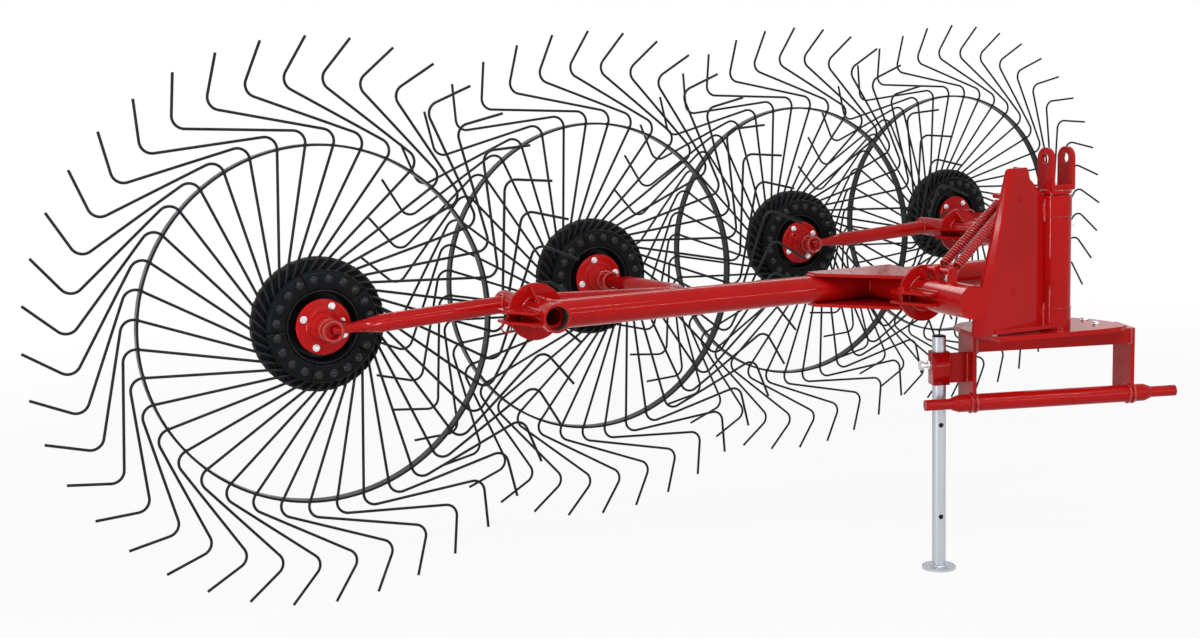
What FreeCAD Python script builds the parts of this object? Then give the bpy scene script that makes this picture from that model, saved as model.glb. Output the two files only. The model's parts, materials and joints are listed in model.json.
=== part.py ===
"""Three-point-mounted finger-wheel hay rake, folded and parked on its stand leg.

Millimetres, +Z up, ground at z = 0.  X runs along the two lower-link pins, Y away from the
tractor.  The raking gang is drawn in its own axes (x along the wheel planes, y along the
axles, origin on the mast post) and is then turned about the post by FOLD_ANGLE.
"""
import FreeCAD, Part
import math
import os

# ---------------------------------------------------------------- driving dimensions
# Layout
FOLD_ANGLE = 16.0          # wheel planes to the line of the lower-link pins, degrees
WHEEL_STEP_X = 922.0       # from one wheel to the next, along the wheel planes
WHEEL_STEP_Y = 412.0       # from one wheel to the next, along the axles
CENTRE_PIVOT_X = -331.0    # centre pivot of the main beam, from the mast post
FIRST_WHEEL_Y = 657.0      # ring plane of the first wheel, from the mast post
PIVOT_RISE = 26.0          # pivots above the wheel axles

# Wheels
RING_RADIUS = 440.0        # middle of the flat ring
RING_WIDTH = 28.0
RING_THICKNESS = 6.0
TINE_COUNT = 40
TINE_WIRE = 7.0
TINE_ROOT_RADIUS = 120.0   # where a tine comes out of the clamp
TINE_TANGENT_RADIUS = 102.0  # circle that the straight part of each tine is tangent to
TINE_KNEE_RADIUS = 475.0
TINE_HEEL_RADIUS = 594.0
TINE_HEEL_SWEEP = 32.7     # heel behind the knee, degrees
TINE_TIP_RADIUS = 700.0
TINE_TIP_SWEEP = 26.0      # tip behind the knee, degrees
TINE_BEND_RADIUS = 30.0
TYRE_RADIUS = 167.0
TYRE_BORE_RADIUS = 92.0
TYRE_WIDTH = 62.0
TYRE_CROWN = 14.0
CLAMP_RING_RADIUS = 140.0
CLAMP_RING_WIDTH = 20.0
CLAMP_RING_BEVEL = 8.0
RIM_THICKNESS = 6.0
RIM_INSET = 3.0            # rim edges inside the two faces of the tyre
HUB_FLANGE_RADIUS = 69.0
HUB_FLANGE_THICKNESS = 8.0
HUB_BARREL_RADIUS = 39.0
HUB_CAP_RADIUS = 28.0
HUB_CAP_LENGTH = 14.0
HUB_CAP_TAPER = 8.0        # from the cap to the barrel
HUB_BEVEL = 4.0
HUB_NOSE = 36.0            # hub in front of the clamp ring
HUB_TAIL = 8.0             # hub behind the middle of the tyre
STUB_AXLE_RADIUS = 15.0
STUB_WASHER_RADIUS = 24.0
STUB_WASHER_THICKNESS = 8.0
STUB_SHOULDER_RADIUS = 23.0
STUB_SIDE_GAP = 2.0        # hub to the shoulder in front of it
STUB_END_GAP = 1.0         # hub to the washer behind it

# Rockers
ARM_TUBE = 44.5
ARM_WALL = 4.0
ARM_PLANE_GAP = 107.0      # rocker arm in front of the ring plane of its first wheel
DISC_TO_ARM = 166.0        # pivot disc in front of the rocker arm
CRANK_OFFSET = 44.0        # crank leg beside the axle that it carries, at the bend
CRANK_BEND_RADIUS = 78.0
CRANK_CORNER_RISE = 5.0    # bend of the crank above the axle that it carries
ARM_NECK_LENGTH = 120.0    # flattened end of each arm
ARM_NECK_HEIGHT = 22.0
ARM_NECK_DEPTH = 40.0
CRANK_NECK_HEIGHT = 28.0
NECK_MIDDLE = 0.45         # where the neck is pinched, of its length
NECK_SWELL = 1.15          # height there, over the height at the tip
NECK_SIDES = 24
PIVOT_SHAFT = 58.9
PIVOT_SHAFT_WALL = 9.0
PIVOT_FIT = 0.05           # radial running fit of the pivots
SHAFT_TAIL = 205.0         # pivot shaft behind the pivot disc
THRUST_COLLAR_RADIUS = 44.0
THRUST_COLLAR_LENGTH = 14.0
THRUST_GAP = 0.5

# Main beam and pivot sleeves
BEAM_TUBE = 70.0
BEAM_WALL = 5.0
BEAM_BEND_RADIUS = 120.0
BEAM_CORNER_X = 200.0      # where the beam turns back towards the rear pivot
BEAM_KNEE = 111.0          # last bend of the beam, in front of the rear pivot sleeve
SLEEVE_OUTER = BEAM_TUBE   # pivot sleeves are cut from the beam tube
SLEEVE_LENGTH = 137.0
SHAFT_RECESS = 30.0        # end of a pivot shaft inside its sleeve
PIVOT_DISC_RADIUS = 70.0
PIVOT_DISC_THICKNESS = 8.0
BEAM_PLANE_SETBACK = 73.0  # beam axis in front of the front pivot disc
BOSS_TAIL = 50.0           # centre pivot boss behind the beam axis
CENTRE_DISC_Y = 95.0       # centre pivot disc, from the mast post
CENTRE_SLEEVE_OUTER = 82.0
CENTRE_SLEEVE_LENGTH = 205.0
CENTRE_SLEEVE_END = 8.0    # thickness of its closed end
LUG_THICKNESS = 6.0
LUG_SPACING = 26.0
LUG_REACH = 100.0
LUG_PIN = 12.0
LUG_EYE = 20.0             # pin hole from the tip and from the disc face
LUG_ROOT = 120.0           # length of a lug along the sleeve, from the disc
LUG_SHOULDER = 22.0        # lug beside the sleeve at its front corner
LUG_NOSE = 36.0            # width of the lug's tip
RIB_OFFSET = 15.0          # upright rib beside the pivot axis
RIB_LENGTH = 52.0
RIB_INSET = 6.0            # top of the rib inside the edge of the disc
SADDLE = 0.8               # foot of a welded-on piece, of the sleeve radius
GUSSET_THICKNESS = 8.0
GUSSET_REACH = 190.0       # along the beam, on its left
GUSSET_RIGHT = 60.0
GUSSET_NOSE = 30.0         # half width at the centre pivot disc
GUSSET_DISC_GAP = 6.0      # gussets behind the centre pivot disc
GUSSET_BACK = 20.0         # gussets behind the beam axis
GUSSET_SHOULDER = 18.0     # where the gussets start to narrow, in front of the beam axis

# Tower
POST_RADIUS = 32.0
POST_FIT = 0.05
POST_WALL = 8.0
TOWER_SLEEVE_RADIUS = 38.0
TOWER_BAND_RADIUS = 39.0
TOWER_BAND_HEIGHT = 52.0
TOWER_SLEEVE_GAP = 4.0     # sleeve below the top of the post
TOWER_PLATE = 8.0
TOWER_FRONT_Y = -42.0      # outer face of the front tower plate
TOWER_REAR_Y = 32.0        # outer face of the rear tower plate
TOWER_BASE_X = -268.0
TOWER_BASE_RISE = 42.0     # outer corner of the tower above the swivel plate
TOWER_TOE = 60.0           # length of the sloping edge under that corner
TOWER_BEVEL = 9.0          # corners at the top of the tower
TOWER_SHOULDER_X = -60.0   # where the back edge of the tower starts to rise
TOWER_SHOULDER_DROP = 14.0
TOWER_HEEL_DROP = 30.0     # plates at the sleeve, below the top of the post
TOWER_TOP_X = -176.0
TOWER_TOP_WIDTH = 57.0
TOWER_RISE = 71.0          # top of the tower above its sleeve
FLOAT_PIN_X = -150.0
FLOAT_PIN = 25.0
FLOAT_TUBE = 48.0
FLOAT_EYE_RADIUS = 28.0
FLOAT_EYE_LENGTH = 56.0
FLOAT_PIN_TAIL = 10.0      # float pin behind the rear tower plate
SPRING_OUTER = 40.0
SPRING_WIRE = 7.0
SPRING_ANCHOR = 14.0
SPRING_TOP_X = -150.0
SPRING_TOP_DROP = 81.0     # upper spring bar below the top of the tower
SPRING_FRONT_Y = -5.0
SPRING_REAR_Y = 58.0
SPRING_STAND_OFF = 22.0    # lower spring bar above the centre sleeve
SPRING_BAR_END = 26.0      # lower spring bar beyond each spring
SPRING_BAR_TAIL = 24.0     # upper spring bar behind the rear spring
SPRING_BAR_NOSE = 6.0      # upper spring bar in front of the tower
SPRING_HOOK = 8.0          # straight part between an eye and the coils
COIL_GROOVE = 2.0          # depth of the groove between two coils
COIL_LAND = 0.4            # round top of a coil, of the wire
CHEEK_WIDTH = 24.0         # cheeks that carry the lower spring bar
CHEEK_THICKNESS = 6.0
CHEEK_TOP = 9.0            # cheeks above the bar's middle
CHEEK_INSET = 2.0          # outer cheeks inside the ends of the bar
CHEEK_ROOT = 4.0           # foot of the cheeks outside the pivot bore
TOWER_FOOT_THICKNESS = 10.0
TOWER_CLEARANCE = 5.5      # tower above the swivel plate
SWING_PIN_RADIUS = 9.0
SWING_PIN_ARC = 190.0      # swing lock pin from the mast post
SWING_PIN_INSET = 2.0      # end of the swing lock pin inside the swivel plate
SWING_SLOT_PLAY = 1.5
SWING_BACK = 60.0          # swing from the folded position, degrees

# Headstock
LINK_PIN_HEIGHT = 438.0
MAST_HEIGHT = 610.0        # lower-link pins to top-link hole
LINK_PIN = 28.0
LINK_SHOULDER = 492.0      # between the two shoulders
LINK_OVERALL = 668.0       # over the two pin ends
LINCH_HOLE = 12.0
LINCH_INSET = 16.0         # linch-pin hole from the end of the pin
CROSS_TUBE = 44.5
UPRIGHT_THICKNESS = 10.0
UPRIGHT_DEPTH = 104.0
UPRIGHT_SPACING = 420.0
FRAME_FRONT = -1.0         # front of the headstock frame, from the mast post
LINK_Y = 16.0              # lower-link pins behind the mast post
BEAM_HEIGHT = 40.0         # upper cross beam
BEAM_DEPTH = 58.0
CROSS_BEAM_WALL = 6.0
SWIVEL_PLATE_DROP = 106.0  # top of the swivel plate below the pivots
SWIVEL_PLATE_THICKNESS = 12.0
SWIVEL_PLATE_OUTLINE = ((-222, 118), (-226, 62), (-217, -14), (-207, -64), (-180, -88),
                        (-132, -90), (-60, -80), (24, -70), (100, -60), (158, -42), (182, -22),
                        (170, 42), (138, 102), (90, 146), (30, 172), (-130, 172), (-188, 152))
POST_TOP = 962.0
FORK_EAR_WIDTH = 56.0
FORK_EAR_THICKNESS = 10.0
FORK_INSIDE = 52.0         # between the two ears
FORK_CAP = 8.0             # round cap on the post, under the fork
FORK_BASE = 14.0
FORK_HOLE = 25.5

# Stand
STAND_TUBE = 35.0
STAND_WALL = 4.0
STAND_X = -284.0
STAND_Y = 54.0
STAND_TOP = 606.0
STAND_FOOT_RADIUS = 43.0
STAND_FOOT_THICKNESS = 6.0
STAND_HOLE = 13.0
STAND_HOLES = (140.0, 380.0)  # heights of the peg holes
COLLAR_HEIGHT = 84.0
COLLAR_BOTTOM = 484.0
COLLAR_OUTER = 50.0
COLLAR_FIT = 0.4
CLAMP_BOLT = 14.0
CLAMP_BOLT_REACH = 18.0    # clamp bolt head in front of the collar
CLAMP_BOLT_HEIGHT = 534.0

# General
CONTACT = 0.3              # clearance between curved faces that rest together
PIN_HEAD_HEIGHT = 8.0
PIN_HEAD_RIM = 5.0         # pin and bolt heads over their shanks

V = FreeCAD.Vector
Y_AXIS = V(0, 1, 0)
Z_AXIS = V(0, 0, 1)


# ---------------------------------------------------------------- shape helpers
def rod(start, end, radius):
    """Solid round bar between two points."""
    axis = end - start
    return Part.makeCylinder(radius, axis.Length, start, axis)


def pipe_along(points, bends, radius):
    """Round bar along straight runs with a tangent arc at each inner point."""
    edges = []
    here = points[0]
    for index in range(1, len(points) - 1):
        corner = points[index]
        back = (points[index - 1] - corner).normalize()
        ahead = (points[index + 1] - corner).normalize()
        half = back.getAngle(ahead) / 2
        bend = bends[index - 1]
        reach = bend / math.tan(half)
        arc_start = corner + back * reach
        arc_end = corner + ahead * reach
        bisector = (back + ahead).normalize()
        middle = corner + bisector * (bend / math.sin(half) - bend)
        edges.append(Part.makeLine(here, arc_start))
        edges.append(Part.Arc(arc_start, middle, arc_end).toShape())
        here = arc_end
    edges.append(Part.makeLine(here, points[-1]))
    path = Part.Wire(edges)
    section = Part.Wire([Part.makeCircle(radius, points[0], points[1] - points[0])])
    return path.makePipeShell([section], True, False)


def tube_along(points, bends, outer, wall):
    """Hollow round tube along straight runs and tangent arcs, open at both ends."""
    solid = pipe_along(points, bends, outer / 2)
    return solid.cut(pipe_along(points, bends, outer / 2 - wall))


def ring_y(outer, inner, y_start, y_end, x=0.0, z=0.0):
    """Ring about an axis parallel to Y."""
    start = V(x, y_start, z)
    length = y_end - y_start
    shape = Part.makeCylinder(outer, length, start, Y_AXIS)
    if inner > 0:
        shape = shape.cut(Part.makeCylinder(inner, length, start, Y_AXIS))
    return shape


def ring_z(outer, inner, z_start, z_end, x=0.0, y=0.0):
    """Ring about a vertical axis."""
    start = V(x, y, z_start)
    shape = Part.makeCylinder(outer, z_end - z_start, start, Z_AXIS)
    if inner > 0:
        shape = shape.cut(Part.makeCylinder(inner, z_end - z_start, start, Z_AXIS))
    return shape


def plate(corners, thickness, direction):
    """Flat plate from its corner points, thickened along a direction."""
    wire = Part.makePolygon(corners + [corners[0]])
    return Part.Face(wire).extrude(direction * thickness)


def revolved_y(profile):
    """Body of revolution about the Y axis from (radius, y) points."""
    wire = Part.makePolygon([V(r, y, 0) for r, y in profile + [profile[0]]])
    return Part.Face(wire).revolve(V(0, 0, 0), Y_AXIS, 360)


# ---------------------------------------------------------------- wheel, about the Y axis
TINE_Y = -(RING_WIDTH / 2 + TINE_WIRE / 2)
TYRE_FRONT_Y = TINE_Y + TINE_WIRE / 2
CLAMP_BACK_Y = TINE_Y - TINE_WIRE / 2
CLAMP_FRONT_Y = CLAMP_BACK_Y - CLAMP_RING_WIDTH
HUB_FRONT_Y = CLAMP_FRONT_Y - HUB_NOSE
HUB_BACK_Y = TYRE_FRONT_Y + TYRE_WIDTH / 2 + HUB_TAIL


def wheel_point(radius, sweep):
    """Point in the tine plane; sweep is degrees anticlockwise from straight down."""
    angle = math.radians(-90 + sweep)
    return V(radius * math.cos(angle), TINE_Y, radius * math.sin(angle))


def tine_points():
    """Centre line of the tine whose tip points straight down."""
    knee_sweep = -TINE_TIP_SWEEP
    lean = math.degrees(math.acos(TINE_TANGENT_RADIUS / TINE_KNEE_RADIUS))
    root = math.degrees(math.acos(TINE_TANGENT_RADIUS / TINE_ROOT_RADIUS))
    root_sweep = knee_sweep + lean - root
    heel_sweep = knee_sweep + TINE_HEEL_SWEEP
    return [wheel_point(TINE_ROOT_RADIUS, root_sweep),
            wheel_point(TINE_KNEE_RADIUS, knee_sweep),
            wheel_point(TINE_HEEL_RADIUS, heel_sweep),
            wheel_point(TINE_TIP_RADIUS, 0.0)]


def wheel_tines():
    """All tines of a wheel, as separate wires."""
    tine = pipe_along(tine_points(), [TINE_BEND_RADIUS] * 2, TINE_WIRE / 2)
    copies = []
    for index in range(TINE_COUNT):
        copy = tine.copy()
        copy.rotate(V(0, 0, 0), Y_AXIS, index * 360.0 / TINE_COUNT)
        copies.append(copy)
    return Part.makeCompound(copies)


def wheel_ring():
    """Flat steel ring that backs the tines."""
    outer = RING_RADIUS + RING_THICKNESS / 2
    return ring_y(outer, outer - RING_THICKNESS, -RING_WIDTH / 2, RING_WIDTH / 2)


def wheel_tyre():
    """Rubber tyre behind the tines and the rubber clamp ring in front of them."""
    back = TYRE_FRONT_Y + TYRE_WIDTH
    carcass = revolved_y([(TYRE_BORE_RADIUS, TYRE_FRONT_Y),
                          (TYRE_RADIUS - TYRE_CROWN / 2, TYRE_FRONT_Y),
                          (TYRE_RADIUS, TYRE_FRONT_Y + TYRE_CROWN),
                          (TYRE_RADIUS, back - TYRE_CROWN),
                          (TYRE_RADIUS - TYRE_CROWN, back),
                          (TYRE_BORE_RADIUS, back)])
    front = revolved_y([(TYRE_BORE_RADIUS, CLAMP_BACK_Y),
                        (CLAMP_RING_RADIUS, CLAMP_BACK_Y),
                        (CLAMP_RING_RADIUS, CLAMP_FRONT_Y + CLAMP_RING_BEVEL),
                        (CLAMP_RING_RADIUS - CLAMP_RING_BEVEL, CLAMP_FRONT_Y),
                        (TYRE_BORE_RADIUS, CLAMP_FRONT_Y)])
    return Part.makeCompound([carcass, front])


def wheel_hub():
    """Hub barrel, front flange, cap, and the dished rim that carries the tyre."""
    rim_middle = TYRE_FRONT_Y + TYRE_WIDTH / 2
    flange_back = CLAMP_FRONT_Y + HUB_FLANGE_THICKNESS
    cap_back = HUB_FRONT_Y + HUB_CAP_LENGTH
    rim_front = CLAMP_FRONT_Y + RIM_INSET
    rim_back = TYRE_FRONT_Y + TYRE_WIDTH - RIM_INSET
    profile = [(STUB_AXLE_RADIUS + PIVOT_FIT, HUB_FRONT_Y),
               (HUB_CAP_RADIUS - HUB_BEVEL, HUB_FRONT_Y),
               (HUB_CAP_RADIUS, HUB_FRONT_Y + HUB_BEVEL),
               (HUB_CAP_RADIUS, cap_back),
               (HUB_BARREL_RADIUS, cap_back + HUB_CAP_TAPER),
               (HUB_BARREL_RADIUS + HUB_BEVEL, CLAMP_FRONT_Y),
               (HUB_FLANGE_RADIUS, CLAMP_FRONT_Y),
               (HUB_FLANGE_RADIUS, flange_back),
               (HUB_BARREL_RADIUS, flange_back),
               (HUB_BARREL_RADIUS, rim_middle - RIM_THICKNESS / 2),
               (TYRE_BORE_RADIUS - RIM_THICKNESS, rim_middle - RIM_THICKNESS / 2),
               (TYRE_BORE_RADIUS - RIM_THICKNESS, rim_front),
               (TYRE_BORE_RADIUS, rim_front),
               (TYRE_BORE_RADIUS, rim_back),
               (TYRE_BORE_RADIUS - RIM_THICKNESS, rim_back),
               (TYRE_BORE_RADIUS - RIM_THICKNESS, rim_middle + RIM_THICKNESS / 2),
               (HUB_BARREL_RADIUS, rim_middle + RIM_THICKNESS / 2),
               (HUB_BARREL_RADIUS, HUB_BACK_Y),
               (STUB_AXLE_RADIUS + PIVOT_FIT, HUB_BACK_Y)]
    return revolved_y(profile)


WHEEL_PIECES = {"tines": wheel_tines(), "ring": wheel_ring(),
                "tyre": wheel_tyre(), "hub": wheel_hub()}

# ---------------------------------------------------------------- heights and stations
AXLE_HEIGHT = -WHEEL_PIECES["tines"].BoundBox.ZMin
PIVOT_HEIGHT = AXLE_HEIGHT + PIVOT_RISE
SWIVEL_PLATE_TOP = PIVOT_HEIGHT - SWIVEL_PLATE_DROP
FRONT_PIVOT_X = CENTRE_PIVOT_X - WHEEL_STEP_X
REAR_PIVOT_X = CENTRE_PIVOT_X + WHEEL_STEP_X
WHEELS = [V(FRONT_PIVOT_X + (index - 0.5) * WHEEL_STEP_X,
            FIRST_WHEEL_Y + index * WHEEL_STEP_Y, AXLE_HEIGHT) for index in range(4)]
FRONT_ARM_Y = FIRST_WHEEL_Y - ARM_PLANE_GAP
FRONT_DISC_Y = FRONT_ARM_Y - DISC_TO_ARM
REAR_DISC_Y = FRONT_DISC_Y + 2 * WHEEL_STEP_Y
BEAM_Y = FRONT_DISC_Y - BEAM_PLANE_SETBACK
SLEEVE_BORE = PIVOT_SHAFT / 2 + PIVOT_FIT


# ---------------------------------------------------------------- rockers
def flattened_end(tip, root, section_height):
    """Solid neck from a full round section at root to a flat oval at tip."""
    axis = (root - tip).normalize()
    side = V(0, 0, 1).cross(axis).normalize()

    def oval(centre, half_height, half_side):
        up = axis.cross(side)
        points = []
        for index in range(NECK_SIDES):
            turn = 2 * math.pi * index / NECK_SIDES
            points.append(centre + side * (half_side * math.cos(turn))
                          + up * (half_height * math.sin(turn)))
        return Part.Wire(Part.makePolygon(points + [points[0]]).Edges)

    middle = tip + (root - tip) * NECK_MIDDLE
    radius = ARM_TUBE / 2
    return Part.makeLoft([oval(tip, section_height / 2, ARM_NECK_DEPTH / 2),
                          oval(middle, section_height / 2 * NECK_SWELL, ARM_NECK_DEPTH / 2),
                          oval(root, radius, radius)], True, False)


def stub_axle(wheel, arm_y):
    """Stub axle of a wheel with its end washer, from the arm plane backwards."""
    back = wheel.y + HUB_BACK_Y
    washer_front = back + STUB_END_GAP
    shaft = rod(V(wheel.x, arm_y, wheel.z),
                V(wheel.x, washer_front + STUB_WASHER_THICKNESS / 2, wheel.z), STUB_AXLE_RADIUS)
    shoulder = rod(V(wheel.x, arm_y, wheel.z),
                   V(wheel.x, wheel.y + HUB_FRONT_Y - STUB_SIDE_GAP, wheel.z),
                   STUB_SHOULDER_RADIUS)
    washer = rod(V(wheel.x, washer_front, wheel.z),
                 V(wheel.x, washer_front + STUB_WASHER_THICKNESS, wheel.z), STUB_WASHER_RADIUS)
    return shaft.fuse([shoulder, washer])


def rocker_shaft(pivot_x, disc_y):
    """Pivot shaft of a rocker with its thrust collar."""
    front = disc_y - SLEEVE_LENGTH + SHAFT_RECESS
    back = disc_y + SHAFT_TAIL
    shaft = ring_y(PIVOT_SHAFT / 2, PIVOT_SHAFT / 2 - PIVOT_SHAFT_WALL, front, back,
                   pivot_x, PIVOT_HEIGHT)
    face = disc_y + PIVOT_DISC_THICKNESS / 2 + THRUST_GAP
    collar = ring_y(THRUST_COLLAR_RADIUS, PIVOT_SHAFT / 2 - PIVOT_SHAFT_WALL / 2,
                    face, face + THRUST_COLLAR_LENGTH, pivot_x, PIVOT_HEIGHT)
    return shaft.fuse(collar)


def shaft_envelope(pivot_x, arm_y):
    """Outer skin of a rocker's pivot shaft where its arms meet it."""
    return rod(V(pivot_x, arm_y - ARM_TUBE, PIVOT_HEIGHT),
               V(pivot_x, arm_y + ARM_TUBE, PIVOT_HEIGHT), PIVOT_SHAFT / 2)


def rocker_arm(pivot_x, arm_y, wheel):
    """Straight arm from the pivot shaft to the nearer wheel, with its stub axle."""
    pivot = V(pivot_x, arm_y, PIVOT_HEIGHT)
    hub = V(wheel.x, arm_y, wheel.z)
    along = (pivot - hub).normalize()
    neck_root = hub + along * ARM_NECK_LENGTH
    body = tube_along([neck_root, pivot], [], ARM_TUBE, ARM_WALL)
    body = body.cut(shaft_envelope(pivot_x, arm_y))
    neck = flattened_end(hub, neck_root, ARM_NECK_HEIGHT)
    return body.fuse([neck, stub_axle(wheel, arm_y)])


def rocker_crank(pivot_x, arm_y, wheel):
    """Cranked arm from the pivot shaft to the farther wheel, with its stub axle."""
    pivot = V(pivot_x, arm_y, PIVOT_HEIGHT)
    corner = V(wheel.x + CRANK_OFFSET, arm_y, wheel.z + CRANK_CORNER_RISE)
    end_y = wheel.y - ARM_PLANE_GAP
    hub = V(wheel.x, end_y, wheel.z)
    back = (corner - hub).normalize()
    neck_root = hub + back * ARM_NECK_LENGTH
    body = tube_along([neck_root, corner, pivot], [CRANK_BEND_RADIUS], ARM_TUBE, ARM_WALL)
    body = body.cut(shaft_envelope(pivot_x, arm_y))
    neck = flattened_end(hub, neck_root, CRANK_NECK_HEIGHT)
    return body.fuse([neck, stub_axle(wheel, end_y)])


# ---------------------------------------------------------------- pivot sleeves
def pivot_lugs(pivot_x, disc_y, sleeve_radius):
    """Pair of horizontal lock lugs on the outer side of a pivot sleeve."""
    face = disc_y - PIVOT_DISC_THICKNESS / 2
    root_x = pivot_x - sleeve_radius * SADDLE
    front = disc_y - LUG_ROOT
    pieces = []
    for side in (-1, 1):
        z = PIVOT_HEIGHT + side * LUG_SPACING / 2 - LUG_THICKNESS / 2
        corners = [V(root_x, front, z), V(pivot_x - sleeve_radius - LUG_SHOULDER, front, z),
                   V(pivot_x - LUG_REACH, face - LUG_NOSE, z), V(pivot_x - LUG_REACH, face, z),
                   V(root_x, face, z)]
        lug = plate(corners, LUG_THICKNESS, Z_AXIS)
        hole = ring_z(LUG_PIN / 2 + CONTACT, 0, z - 1, z + LUG_THICKNESS + 1,
                      pivot_x - LUG_REACH + LUG_EYE, face - LUG_EYE)
        pieces.append(lug.cut(hole))
    return pieces


def pivot_sleeve(pivot_x, disc_y, outer_radius, length, closed_end=-1):
    """Pivot sleeve with its disc, lock lugs and upright gusset, open at its front end or closed."""
    front = disc_y - length
    bore = rod(V(pivot_x, front + closed_end, PIVOT_HEIGHT),
               V(pivot_x, disc_y + PIVOT_DISC_THICKNESS, PIVOT_HEIGHT), SLEEVE_BORE)
    sleeve = rod(V(pivot_x, front, PIVOT_HEIGHT), V(pivot_x, disc_y, PIVOT_HEIGHT), outer_radius)
    disc = ring_y(PIVOT_DISC_RADIUS, 0, disc_y - PIVOT_DISC_THICKNESS / 2,
                  disc_y + PIVOT_DISC_THICKNESS / 2, pivot_x, PIVOT_HEIGHT)
    face = disc_y - PIVOT_DISC_THICKNESS / 2
    foot_z = PIVOT_HEIGHT + outer_radius * SADDLE
    rib_x = pivot_x - RIB_OFFSET
    rib = plate([V(rib_x, face, foot_z), V(rib_x, face - RIB_LENGTH, foot_z),
                 V(rib_x, face, PIVOT_HEIGHT + PIVOT_DISC_RADIUS - RIB_INSET)],
                LUG_THICKNESS, V(1, 0, 0))
    lugs = pivot_lugs(pivot_x, disc_y, outer_radius)
    return sleeve.fuse([disc, rib] + lugs).cut(bore)


# ---------------------------------------------------------------- main beam
def beam_left_tube():
    """Straight tube from the front pivot sleeve to the centre pivot shaft."""
    tube = tube_along([V(FRONT_PIVOT_X, BEAM_Y, PIVOT_HEIGHT),
                       V(CENTRE_PIVOT_X, BEAM_Y, PIVOT_HEIGHT)], [], BEAM_TUBE, BEAM_WALL)
    sleeve = rod(V(FRONT_PIVOT_X, FRONT_DISC_Y - SLEEVE_LENGTH, PIVOT_HEIGHT),
                 V(FRONT_PIVOT_X, FRONT_DISC_Y, PIVOT_HEIGHT), SLEEVE_OUTER / 2)
    return tube.cut(sleeve).cut(centre_shaft_envelope())


def centre_shaft_envelope():
    """Outer skin of the centre pivot shaft where the beam tubes meet it."""
    return rod(V(CENTRE_PIVOT_X, BEAM_Y - BEAM_TUBE, PIVOT_HEIGHT),
               V(CENTRE_PIVOT_X, BEAM_Y + BEAM_TUBE, PIVOT_HEIGHT), SLEEVE_OUTER / 2)


def beam_right_tube():
    """Cranked tube from the centre pivot shaft to the rear pivot sleeve."""
    start = V(CENTRE_PIVOT_X, BEAM_Y, PIVOT_HEIGHT)
    corner = V(BEAM_CORNER_X, BEAM_Y, PIVOT_HEIGHT)
    end = V(REAR_PIVOT_X, REAR_DISC_Y - SLEEVE_LENGTH, PIVOT_HEIGHT)
    knee = end - V(0, BEAM_KNEE, 0)
    tube = tube_along([end, knee, corner, start], [BEAM_BEND_RADIUS, BEAM_BEND_RADIUS],
                      BEAM_TUBE, BEAM_WALL)
    return tube.cut(centre_shaft_envelope())


def beam_centre_shaft():
    """Centre pivot shaft with the thick boss that the beam tubes are welded to."""
    front = CENTRE_DISC_Y - CENTRE_SLEEVE_LENGTH + SHAFT_RECESS
    shaft = rod(V(CENTRE_PIVOT_X, front, PIVOT_HEIGHT),
                V(CENTRE_PIVOT_X, BEAM_Y + BOSS_TAIL, PIVOT_HEIGHT), PIVOT_SHAFT / 2)
    boss_front = CENTRE_DISC_Y + PIVOT_DISC_THICKNESS / 2 + THRUST_GAP
    boss = rod(V(CENTRE_PIVOT_X, boss_front, PIVOT_HEIGHT),
               V(CENTRE_PIVOT_X, BEAM_Y + BOSS_TAIL, PIVOT_HEIGHT), SLEEVE_OUTER / 2)
    return shaft.fuse(boss)


def beam_gussets():
    """Top and bottom gusset plates between the beam and the centre pivot boss."""
    front = CENTRE_DISC_Y + PIVOT_DISC_THICKNESS / 2 + GUSSET_DISC_GAP
    back = BEAM_Y + GUSSET_BACK
    shoulder = BEAM_Y - GUSSET_SHOULDER
    pieces = []
    for z in (PIVOT_HEIGHT + BEAM_TUBE / 2, PIVOT_HEIGHT - BEAM_TUBE / 2 - GUSSET_THICKNESS):
        corners = [V(CENTRE_PIVOT_X - GUSSET_REACH, back, z),
                   V(CENTRE_PIVOT_X - GUSSET_REACH, shoulder, z),
                   V(CENTRE_PIVOT_X - GUSSET_NOSE, front, z),
                   V(CENTRE_PIVOT_X + GUSSET_NOSE, front, z),
                   V(CENTRE_PIVOT_X + GUSSET_RIGHT, shoulder, z),
                   V(CENTRE_PIVOT_X + GUSSET_RIGHT, back, z)]
        pieces.append(plate(corners, GUSSET_THICKNESS, Z_AXIS))
    return Part.makeCompound(pieces)


# ---------------------------------------------------------------- tower
SLEEVE_FOOT = SWIVEL_PLATE_TOP + THRUST_GAP
TOWER_FOOT = SWIVEL_PLATE_TOP + TOWER_CLEARANCE
TOWER_MIDDLE_Y = (TOWER_FRONT_Y + TOWER_REAR_Y) / 2
TOWER_TOP = POST_TOP + TOWER_RISE


def tower_sleeve():
    """Swing sleeve on the mast post, with thicker bands at both ends."""
    top = POST_TOP - TOWER_SLEEVE_GAP
    body = ring_z(TOWER_SLEEVE_RADIUS, 0, SLEEVE_FOOT, top)
    low = ring_z(TOWER_BAND_RADIUS, 0, SLEEVE_FOOT, SLEEVE_FOOT + TOWER_BAND_HEIGHT)
    high = ring_z(TOWER_BAND_RADIUS, 0, top - TOWER_BAND_HEIGHT, top)
    bore = ring_z(POST_RADIUS + POST_FIT, 0, SLEEVE_FOOT - 1, top + 1)
    return body.fuse([low, high]).cut(bore)


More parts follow.
